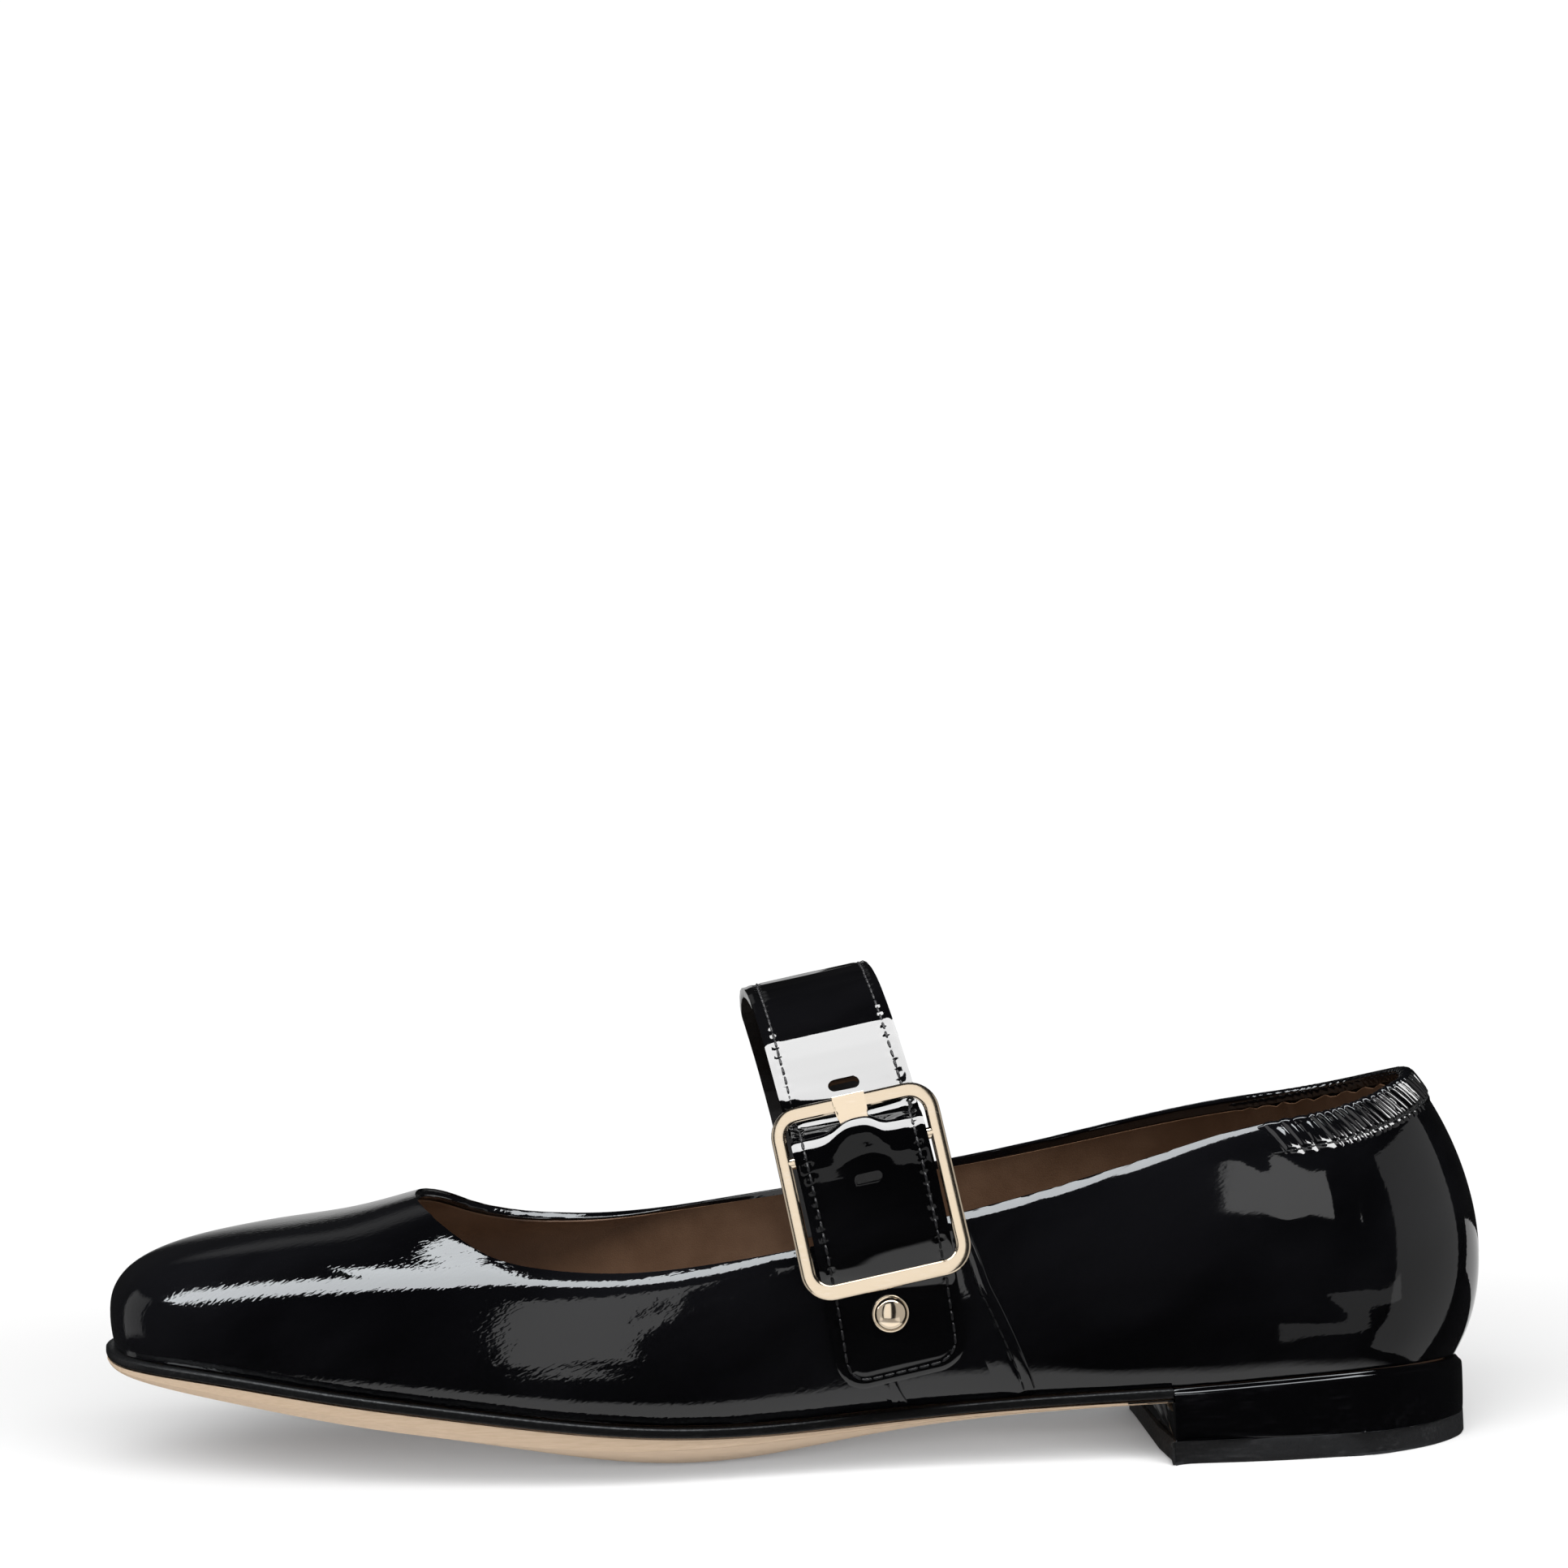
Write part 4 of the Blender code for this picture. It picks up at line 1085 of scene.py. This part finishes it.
def strap_sides():
    """The two long edges of the strap's outer face, from the tab's end to the inner end."""
    guide = copy_of("strap", "outline_guide")
    mesh = edit(guide, "FACE")
    top = max(mesh.faces, key=lambda f: (f.normal.z > 0.8) * f.calc_center_median().z)
    choose(guide, mesh, [top])
    bpy.ops.mesh.faces_select_linked_flat(sharpness=math.radians(50))
    bpy.ops.mesh.region_to_loop()
    rings = rings_of([e for e in bmesh.from_edit_mesh(guide.data).edges if e.select])
    put_down()
    bpy.data.objects.remove(guide)
    ring = [np.array(p) for p in max(rings, key=len)]
    across = [float(strap_across(p)) for p in ring]
    sides = []
    for toward in (-1, 1):
        side = [i for i in range(len(ring)) if across[i] * toward > 5.0]
        breaks = [k for k in range(len(side)) if (side[k] - side[k - 1]) % len(ring) != 1]
        start = breaks[0] if breaks else 0
        line = [ring[i] for i in side[start:] + side[:start]]
        if line[0][1] > 0:
            line.reverse()
        sides.append(line)
    return sides


def eased_bend(grid):
    """Softens the bend where the strap leaves the tab."""
    bend = [r for r in range(1, len(grid) - 1)
            if grid[r, :, 1].max() < OUTER_FACE and TAB_TOP * MM < grid[r, :, 2].mean() < 41 * MM]
    rounds = 20
    for _ in range(rounds):
        grid[bend] = (grid[[r - 1 for r in bend]] + 2 * grid[bend] + grid[[r + 1 for r in bend]]) / 4
    return grid


# Where the strap bulges out: height, half its length and how far.
BULGE_ABOVE_BUCKLE, BULGE_OVER_TAB = (65.4, 2.6, 0.85), (35.8, 2.0, 0.45)
LIP_OUT, LIP_UP, INNER_FORWARD = 0.5, 2.1, 2.6


def relaxed_strap(at):
    """The strap as it settles: out above the buckle, up over the prong, forward inside."""
    y, z = at[:, 1] / MM, at[:, 2] / MM
    outer = y < -24
    middle = np.exp(-np.abs(strap_across(at) / 4.3) ** 3)
    lip = np.clip((-y - 36.0) / 2.8, 0, 1) * np.clip((z - 52.5) / 6.5, 0, 1) ** 1.5 * middle
    bulge = sum(push * bell(z, height, half) for height, half, push in (BULGE_ABOVE_BUCKLE, BULGE_OVER_TAB))
    at[:, 1] -= (bulge * outer + LIP_OUT * lip) * MM
    at[:, 2] += LIP_UP * lip * MM
    at[:, 0] -= INNER_FORWARD * MM * np.clip((y + 18) / 36, 0, 1) ** 1.5
    return at


def strap_places():
    """The outer face of the strap as rows of places laid on the strap's node."""
    sides = [smooth_line(squared_side(line)) for line in strap_sides()]
    rows = int(length_of(sides[0]) / (ROW * MM))
    guide = copy_of("strap", "strap_guide")
    skin = Skin(guide)
    at = []
    for toe, heel in zip(*(read_evenly(line, rows) for line in sides)):
        for share in np.linspace(0, 1, COLUMNS):
            share = 0.5 - 0.5 * math.cos(math.pi * share) * (1 - 0.35 * math.sin(math.pi * share) ** 2)
            spot = toe * (1 - share) + heel * share
            holed = spot[1] < 0 and abs(spot[2] / MM - PRONG_SLOT[0]) < 3.2 and abs(share - 0.5) < 0.2
            if on_tab(spot):
                at.append(rounded_in(skin, spot))
            else:
                at.append(spot if holed else skin.nearest(Vector(spot))[0])
    bpy.data.objects.remove(guide)
    return np.array(at).reshape(rows, COLUMNS, 3)


def patent_strap():
    """One layer laid out flat, wrapped on its place, pressed at the stitches and thickened."""
    grid = eased_bend(strap_places())
    strap = grid_sheet("strap_band", len(grid), COLUMNS, relaxed_strap(grid.reshape(-1, 3)))
    face_outward(strap, lambda face: face.center.y < -30 * MM)
    press_stitch_line(strap)
    waver(strap, spacing=9 * MM, height=0.09 * MM, seed=4)
    finish_with(strap, "SOLIDIFY", thickness=STRAP_WALL * MM, offset=-1.0)
    skin = Skin(strap)
    for height, width, tall in SLOTS:
        punch_slot(strap, *skin.from_side(strap_centre_s(height), height, OUTER), width, tall)
    prong_foot = Vector((x_of(strap_centre_s(62.0)), -37.9 * MM, 62.3 * MM))
    punch_slot(strap, prong_foot, Vector((0, -0.24, 0.97)), *PRONG_SLOT[1:])
    finish_with(strap, "BEVEL", width=0.24 * MM, segments=2, limit_method="ANGLE",
                angle_limit=math.radians(55))
    shade(strap, 50)
    strap.data.materials.append(STRAP_PATENT)
    strap.data.materials.append(BLACK_AND_SHADED_STRAP_BACK)
    # Faces turned in towards the foot take the near-black inner leather; its extra darkness is painted
    # shade.
    axis = Vector((0, 0, 48 * MM))
    for face in strap.data.polygons:
        inward = axis - Vector((0, face.center.y, face.center.z))
        face.material_index = int(face.normal.dot(inward.normalized()) > 0.45)
    return seat(strap, STRAP_PATENT, "patent_leather", "strap")


def punch_slot(strap, spot, lean, width, tall):
    """Cuts a round-ended slot through the strap at a spot, along its normal."""
    put_down()
    bpy.ops.mesh.primitive_cylinder_add(vertices=32, radius=tall / 2 * MM, depth=6 * MM)
    punch = bpy.context.object
    at = corners(punch)
    at[:, 0] += np.sign(at[:, 0]) * (width - tall) / 2 * MM * (np.abs(at[:, 0]) > 0.01 * MM)
    set_corners(punch, at)
    across = (ALONG_STRAP - lean * ALONG_STRAP.dot(lean)).normalized()
    punch.data.transform(axes_at(spot, across, lean.cross(across), lean))
    finish_with(strap, "BOOLEAN", operation="DIFFERENCE", solver="EXACT", object=punch)
    bpy.data.objects.remove(punch)


def press_stitch_line(strap):
    """The stitches pull a puckered groove near the edges of the strap."""
    at, lean = corners(strap), leaning(strap)
    inset = strap_inset(at)
    along = np.arange(len(at)) // COLUMNS * ROW
    pucker = 1 + 0.55 * np.cos(along * 2 * math.pi / STRAP_STITCH.pitch)
    calm = np.clip((at[:, 2] / MM - 22) / 3, 0.35, 1)
    groove = -0.26 * bell(inset, GROOVE_INSET, 0.5) * pucker * calm
    roll = -0.18 * np.clip((0.9 - inset) / 0.9, 0, 1) ** 2
    set_corners(strap, at + lean * ((groove + roll) * MM)[:, None])


def strap_stitching(skin):
    """Spots for the stitches: along both edges and round the end of the tab."""
    toe_edge, heel_edge = strap_sides()
    line = curve_through(toe_edge[::-1] + heel_edge, 0.4 * MM)
    spots = []
    for i, here in enumerate(line):
        ahead = line[min(i + 2, len(line) - 1)] - line[max(i - 2, 0)]
        inside = here - np.array(ALONG_STRAP) * strap_across(here) / STRAP_HALF * 2 * MM
        if here[1] < OUTER_FACE and here[2] < TAB_TOP * MM:
            inside = here + (TAB_MIDDLE - here) * 0.3
        lean = skin.nearest(Vector(inside))[1]
        inward = lean.cross(Vector(ahead)).normalized()
        spots.append(np.array(Vector(here) + inward * STITCH_INSET * MM))
    spots = np.array(spots)
    even = read_evenly(spots, int(length_of(spots) / (STRAP_STITCH.pitch * MM)))
    return [skin.nearest(Vector(p)) for p in even]


# ------------------------------------------------------------------ buckle

BUCKLE_SIZE, BUCKLE_CORNER, BUCKLE_BAR = (29.8, 33.8), 5.2, 2.6
BUCKLE_THICKNESS, BUCKLE_BEVEL = 2.0, 0.58
BUCKLE_MIDDLE = (111.2, -38.85, 50.2)          # s, y and z
BUCKLE_LEAN = math.radians(10.5)
CENTRE_BAR_RADIUS, CENTRE_BAR_LENGTH, CENTRE_BAR_UP = 1.0, 27.4, 7.5


def buckle_place():
    """From the buckle's own axes (across, up, out of its face) to the shoe."""
    up = Vector((-math.sin(STRAP_TILT) * math.cos(BUCKLE_LEAN), math.sin(BUCKLE_LEAN),
                 math.cos(STRAP_TILT) * math.cos(BUCKLE_LEAN)))
    s, y, z = BUCKLE_MIDDLE
    return axes_at((x_of(s), y * MM, z * MM), ALONG_STRAP, up, ALONG_STRAP.cross(up))


def buckle_frame():
    """Flat rounded-square frame with a chamfered face and a round bar across it."""
    put_down()
    bpy.ops.mesh.primitive_plane_add(size=1)
    buckle = bpy.context.object
    buckle.name = buckle.data.name = "buckle_frame"
    buckle.scale = (BUCKLE_SIZE[0] * MM, BUCKLE_SIZE[1] * MM, 1)
    bpy.ops.object.transform_apply(location=False, rotation=False, scale=True)
    edit(buckle, "VERT")
    bpy.ops.mesh.select_all(action="SELECT")
    bpy.ops.mesh.bevel(offset=BUCKLE_CORNER * MM, segments=10, affect="VERTICES")
    bpy.ops.mesh.select_mode(type="FACE")
    bpy.ops.mesh.select_all(action="SELECT")
    bpy.ops.mesh.inset(thickness=BUCKLE_BAR * MM)
    bpy.ops.mesh.delete(type="FACE")
    bpy.ops.mesh.select_all(action="SELECT")
    bpy.ops.mesh.extrude_region_move(TRANSFORM_OT_translate={"value": (0, 0, -BUCKLE_THICKNESS * MM)})
    bpy.ops.mesh.select_all(action="SELECT")
    bpy.ops.mesh.normals_make_consistent(inside=False)
    mesh = bmesh.from_edit_mesh(buckle.data)
    choose(buckle, mesh, bent_edges(mesh, 70), "EDGE")
    bpy.ops.mesh.bevel(offset=BUCKLE_BEVEL * MM, segments=3, profile=0.5, affect="EDGES")
    put_down()
    set_corners(buckle, corners(buckle) + (0, 0, BUCKLE_THICKNESS / 2 * MM))
    bpy.ops.mesh.primitive_cylinder_add(vertices=24, radius=CENTRE_BAR_RADIUS * MM,
                                        depth=CENTRE_BAR_LENGTH * MM, location=(0, CENTRE_BAR_UP * MM, 0),
                                        rotation=(0, math.pi / 2, 0))
    bpy.ops.object.transform_apply(location=True, rotation=True, scale=True)
    buckle.select_set(True)
    bpy.context.view_layer.objects.active = buckle
    bpy.ops.object.join()
    buckle.data.transform(buckle_place())
    shade(buckle, 25)
    return seat(buckle, GOLD, "pale_gold", "buckle")


def gold_prong():
    prong = copy_of("prong", "prong_tongue")
    mesh = edit(prong, "EDGE")
    choose(prong, mesh, bent_edges(mesh, CRISP), "EDGE")
    bpy.ops.mesh.bevel(offset=0.22 * MM, segments=2, affect="EDGES")
    put_down()
    smooth_skin(prong, 2)
    shade(prong, 50)
    return seat(prong, GOLD, "pale_gold", "prong")


STUD_RADIUS, STUD_DOME, STUD_COLLAR = 3.3, 1.35, 0.42      # radius, and heights of dome and collar
DOME_SHARE = 0.84                                          # of the radius that the dome takes up


def plain_stud(skin):
    """A bare domed stud on a low collar, riveted through the tab."""
    low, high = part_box("stud")
    place = (Vector(low) + Vector(high)) / 2
    foot, lean = skin.nearest(Vector((place.x, -50 * MM, place.z)))
    put_down()
    bpy.ops.mesh.primitive_uv_sphere_add(segments=48, ring_count=24, radius=STUD_RADIUS * MM)
    stud = bpy.context.object
    stud.name = stud.data.name = "badge_stud"
    at = corners(stud)
    out = np.hypot(at[:, 0], at[:, 1]) / (STUD_RADIUS * MM)
    dome = STUD_DOME * np.sqrt(np.clip(1 - (out / DOME_SHARE) ** 2, 0, 1)) + STUD_COLLAR
    collar = STUD_COLLAR * np.sqrt(np.clip(1 - np.clip((out - 0.9) / 0.1, 0, 1) ** 2, 0, 1))
    at[:, 2] = np.where(at[:, 2] >= 0, np.where(out < DOME_SHARE, dome, collar), -0.3) * MM
    set_corners(stud, at)
    turn = lean.to_track_quat("Z", "Y").to_matrix().to_4x4()
    stud.data.transform(Matrix.Translation(foot + lean * 0.1 * MM) @ turn)
    shade(stud, 50)
    return seat(stud, GOLD, "pale_gold", "stud")


# ------------------------------------------------------------------ assembly

RIM_RINGS = outline("upper", RIM_ABOVE)
FEATHER_RING = outline("upper")[0]
upper = patent_upper()
upper_skin = Skin(upper)
lining()
padded_sock()
sole = black_edges(refined("outsole", "sole", SOLE, "sole_leather", 40))
for tan in (sole, bpy.data.objects["sock"]):
    tan.visible_diffuse = False            # no tan tint in the shadow on the floor
refined("rand", "welt", WELT, "black_welt", 40, 0.8)
refined("heel_block", "heel", HEEL_GLOSS, "black_gloss_heel", 40, 0.72)
refined("top_piece", "heel_lift", LIFT, "heel_rubber", 35, 0.9)
strap = patent_strap()
strap_skin = Skin(strap)
stitch_row("strap_stitches", strap_stitching(strap_skin), STRAP_STITCH)
gathered_collar(upper_skin)
lapped_seam("side_seam_outer", upper_skin, SIDE_SEAM, OUTER)
lapped_seam("side_seam_inner", upper_skin, SIDE_SEAM, INNER)
lapped_seam("tab_seam", upper_skin, TAB_SEAM, OUTER, edge=0.3, reach=3.2, groove=1.3, stitched=False)
buckle_frame()
bpy.data.objects["buckle_frame"].visible_glossy = False
gold_prong()
plain_stud(strap_skin)


# ------------------------------------------------------------------ studio

FLOOR_SIZE = 40
FLOOR_GLOW = 1.02
FADE_FROM, FADE_TO = 0.14, 0.34     # distances over which the floor turns to plain white


def floor():
    """Pale seamless floor.  Gloss looks through it, to the studio below."""
    put_down()
    bpy.ops.mesh.primitive_plane_add(size=FLOOR_SIZE)
    ground = bpy.context.object
    ground.name = "studio_floor"
    material, tree, shader = finish_named("studio_floor", Roughness=1.0, Specular_IOR_Level=0.0)
    cloud = mottle(tree, scaled_place(tree), 3.0)
    tree.links.new(blend_colours(tree, cloud, (0.93, 0.93, 0.93, 1), (0.96, 0.96, 0.96, 1)),
                   shader.inputs["Base Color"])
    glow = tree.nodes.new("ShaderNodeEmission")
    glow.inputs["Strength"].default_value = FLOOR_GLOW
    clear = tree.nodes.new("ShaderNodeBsdfTransparent")
    far = node(tree, "VectorMath", {"operation": "LENGTH"}, _0=scaled_place(tree)).outputs["Value"]
    seen = tree.nodes.new("ShaderNodeLightPath")
    lit = node(tree, "MixShader", _0=spread(tree, far, FADE_FROM, FADE_TO), _1=shader.outputs[0],
               _2=glow.outputs[0])
    mix = node(tree, "MixShader", _0=seen.outputs["Is Glossy Ray"], _1=lit.outputs[0], _2=clear.outputs[0])
    tree.links.new(mix.outputs[0], tree.nodes["Material Output"].inputs["Surface"])
    ground.data.materials.append(material)


# What the gloss sees round the shoe, far away: turn from the front towards the heel
# and height above the horizon, both in degrees, softness of the edge and brightness.
Panel = namedtuple("Panel", "turn_from turn_to low high soft glow")
PANELS = [
    Panel(-200, 200, -95, -44, 3, 0.85),       # the floor close by
    Panel(-124, -97, -13, 20, 2, 0.30),        # dim wall at the toe
    Panel(-188, -166, -5, 12, 4, 0.55),        # bright backdrop behind
    Panel(-168, -148, 29, 44, 6, 0.14),        # its dim upper part
]
GLOSS_DARK = 0.012                             # brightness between the panels
WHITE_TO_EYE, SOFT_LIGHT = 0.75, 0.3           # added to the eye's view; light on matt surfaces


def window(tree, value, low, high, soft):
    opened = spread(tree, value, low - soft, low + soft)
    return times(tree, opened, spread(tree, value, high - soft, high + soft, 1.0, 0.0))


def surround():
    """White to the eye, soft light to matt surfaces, a dim studio to the gloss."""
    world = bpy.data.worlds.new("studio")
    bpy.context.scene.world = world
    world.use_nodes = True
    tree = world.node_tree
    way = node(tree, "SeparateXYZ", Vector=node(tree, "TexCoord").outputs["Generated"])
    back = times(tree, way.outputs[1], -1.0)
    turn = times(tree, maths(tree, "ARCTAN2", way.outputs[0], back), 180 / math.pi)
    height = times(tree, maths(tree, "ARCSINE", way.outputs[2]), 180 / math.pi)
    glow = GLOSS_DARK
    for panel in PANELS:
        across = window(tree, turn, panel.turn_from, panel.turn_to, panel.soft)
        up = window(tree, height, panel.low, panel.high, panel.soft)
        seen = times(tree, times(tree, across, up), panel.glow)
        glow = maths(tree, "MAXIMUM", glow, seen)
    path = tree.nodes.new("ShaderNodeLightPath")
    to_eye = times(tree, path.outputs["Is Camera Ray"], WHITE_TO_EYE)
    plain = plus(tree, to_eye, SOFT_LIGHT)
    back_light = tree.nodes["Background"]
    back_light.inputs["Color"].default_value = (1, 1, 1, 1)
    strength = node(tree, "Mix", {"data_type": "FLOAT"}, _0=path.outputs["Is Glossy Ray"], _2=plain,
                    _3=glow).outputs[0]
    tree.links.new(strength, back_light.inputs["Strength"])


def softbox(name, place, aim, size, glow, only=(), but=(), matt=True, tint=(1, 1, 1), through=False):
    """A light panel of a given brightness; a card that isn't matt shows only in gloss.

    It lights only the pieces named, or every piece but those named; through the others
    where it is told to."""
    lamp = bpy.data.lights.new(name, "AREA")
    lamp.shape = "RECTANGLE"
    lamp.size, lamp.size_y = size
    lamp.energy = glow * math.pi * size[0] * size[1]
    box = bpy.data.objects.new(name, lamp)
    facing = (Vector(aim) - Vector(place)).normalized()
    level = Vector((1, 0, 0)) if abs(facing.x) < 0.9 else Vector((0, 1, 0))
    high = level.cross(facing).normalized()
    level = facing.cross(high)
    box.matrix_world = axes_at(place, level, high, -facing)
    box.visible_camera = False
    box.visible_diffuse = matt
    lamp.color = tint
    if only or but:
        lit = bpy.data.collections.new(name + "_lights")
        for piece in only or but:
            lit.objects.link(bpy.data.objects[piece])
        for entry in lit.collection_objects:
            entry.light_linking.link_state = "INCLUDE" if only else "EXCLUDE"
        box.light_linking.receiver_collection = lit
        if through:
            box.light_linking.blocker_collection = lit
    bpy.context.scene.collection.objects.link(box)
    return box


EYE = (-0.00756, -0.50707, 0.09186)
YAW, PITCH, ROLL = (math.radians(a) for a in (0.98, -3.56, -1.47))
LENS, SENSOR = 61.76, 36


def camera():
    ahead = Vector((math.sin(YAW) * math.cos(PITCH), math.cos(YAW) * math.cos(PITCH), -math.sin(PITCH)))
    right = Vector((math.cos(YAW), -math.sin(YAW), 0))
    top = right.cross(ahead)
    level = right * math.cos(ROLL) + top * math.sin(ROLL)
    head = top * math.cos(ROLL) - right * math.sin(ROLL)
    eye = bpy.data.cameras.new("camera")
    eye.lens, eye.sensor_width, eye.clip_start = LENS, SENSOR, 0.01
    holder = bpy.data.objects.new("camera", eye)
    holder.matrix_world = axes_at(EYE, level, head, -ahead)
    bpy.context.scene.collection.objects.link(holder)
    bpy.context.scene.camera = holder


BLACK_UPPER = ["upper_patent", "side_seam_outer", "side_seam_inner", "tab_seam", "gathered_collar"]
STRAP = ["strap_band", "strap_stitches"]
METAL = ["buckle_frame", "badge_stud"]
PRONG = ["prong_tongue"]
INSIDE = ["lining_skin", "sock"]
COLLAR = ["gathered_collar", "collar_stitches"]
FLOOR = ["studio_floor"]
COOL = (0.93, 0.97, 1.0)

# Light boxes: name, place, what it faces, width and height, brightness, pieces it lights.
BOXES = [
    ("strap_box", (-0.35, -0.52, 1.0), (-0.35, -0.52, 0), (2.4, 0.86), 14.0, STRAP),
    ("floor_light", (0, -1.15, 0.75), (0, 0, 0), (3.0, 1.2), 3.6, FLOOR),
    ("floor_low_light", (0, -1.25, 0.27), (0, 0, 0), (2.5, 0.20), 15.0, FLOOR),
]
# Cards that show only as a reflection in gloss, given in the same way.
CARDS = [
    ("front_card", (-0.077, -0.62, 0.20), (-0.077, 0, 0.20), (0.255, 0.70), 0.95, BLACK_UPPER),
    ("heel_card", (0.42, -0.62, 0.25), (0.42, 0, 0.25), (0.34, 0.25), 1.2, BLACK_UPPER),
    ("strap_card", (0.03, -0.62, 0.115), (0.03, 0, 0.115), (0.5, 0.10), 0.42, STRAP),
    ("metal_card", (-0.045, -0.62, 0.15), (-0.045, 0, 0.15), (0.32, 0.80), 1.08, METAL),
    ("metal_heel_card", (0.62, -0.35, 0.10), (0.01, -0.04, 0.05), (0.9, 1.4), 0.5, METAL),
    ("metal_toe_card", (-0.62, -0.35, 0.10), (0.01, -0.04, 0.05), (0.9, 1.4), 0.5, METAL),
    ("metal_low_card", (0, -0.45, -0.45), (0.01, -0.04, 0.05), (1.2, 0.5), 0.38, METAL),
    ("prong_card", (0, -0.5, 0.35), (0.01, -0.04, 0.064), (0.5, 1.6), 1.15, PRONG),
    ("heel_wall", (1.55, -0.16, -0.12), (0, 0, 0.03), (1.2, 1.8), 0.37, BLACK_UPPER),
    ("heel_backdrop", (1.0, 1.11, -0.20), (0, 0, 0.04), (1.2, 0.27), 0.9, BLACK_UPPER),
    ("table_edge", (1.12, -1.0, -0.58), (0.06, 0, 0.03), (1.2, 0.22), 0.32, BLACK_UPPER),
    ("glint_card_toe", (-0.9, -0.55, 0.5), (0.09, 0, 0.06), (0.5, 0.6), 14.0, COLLAR),
    ("glint_card_heel", (1.0, -0.6, 0.45), (0.09, 0, 0.06), (0.5, 0.6), 14.0, COLLAR),
]

floor()
surround()
softbox("overhead_box", (-0.85, -0.275, 1.0), (-0.85, -0.275, 0), (3.5, 0.37), 9.0, but=FLOOR + STRAP,
        tint=COOL)
softbox("overhead_flap", (-0.335, 0.01, 1.0), (-0.335, 0.01, 0), (0.37, 0.20), 9.0, BLACK_UPPER,
        matt=False, tint=COOL)
softbox("lining_fill", (0.5, -0.35, 0.6), (0, 0, 0.03), (0.8, 0.8), 1.3, INSIDE, through=True)
for box in BOXES:
    softbox(*box)
for card in CARDS:
    softbox(*card, matt=False)
camera()
bpy.context.scene.view_settings.view_transform = "Standard"
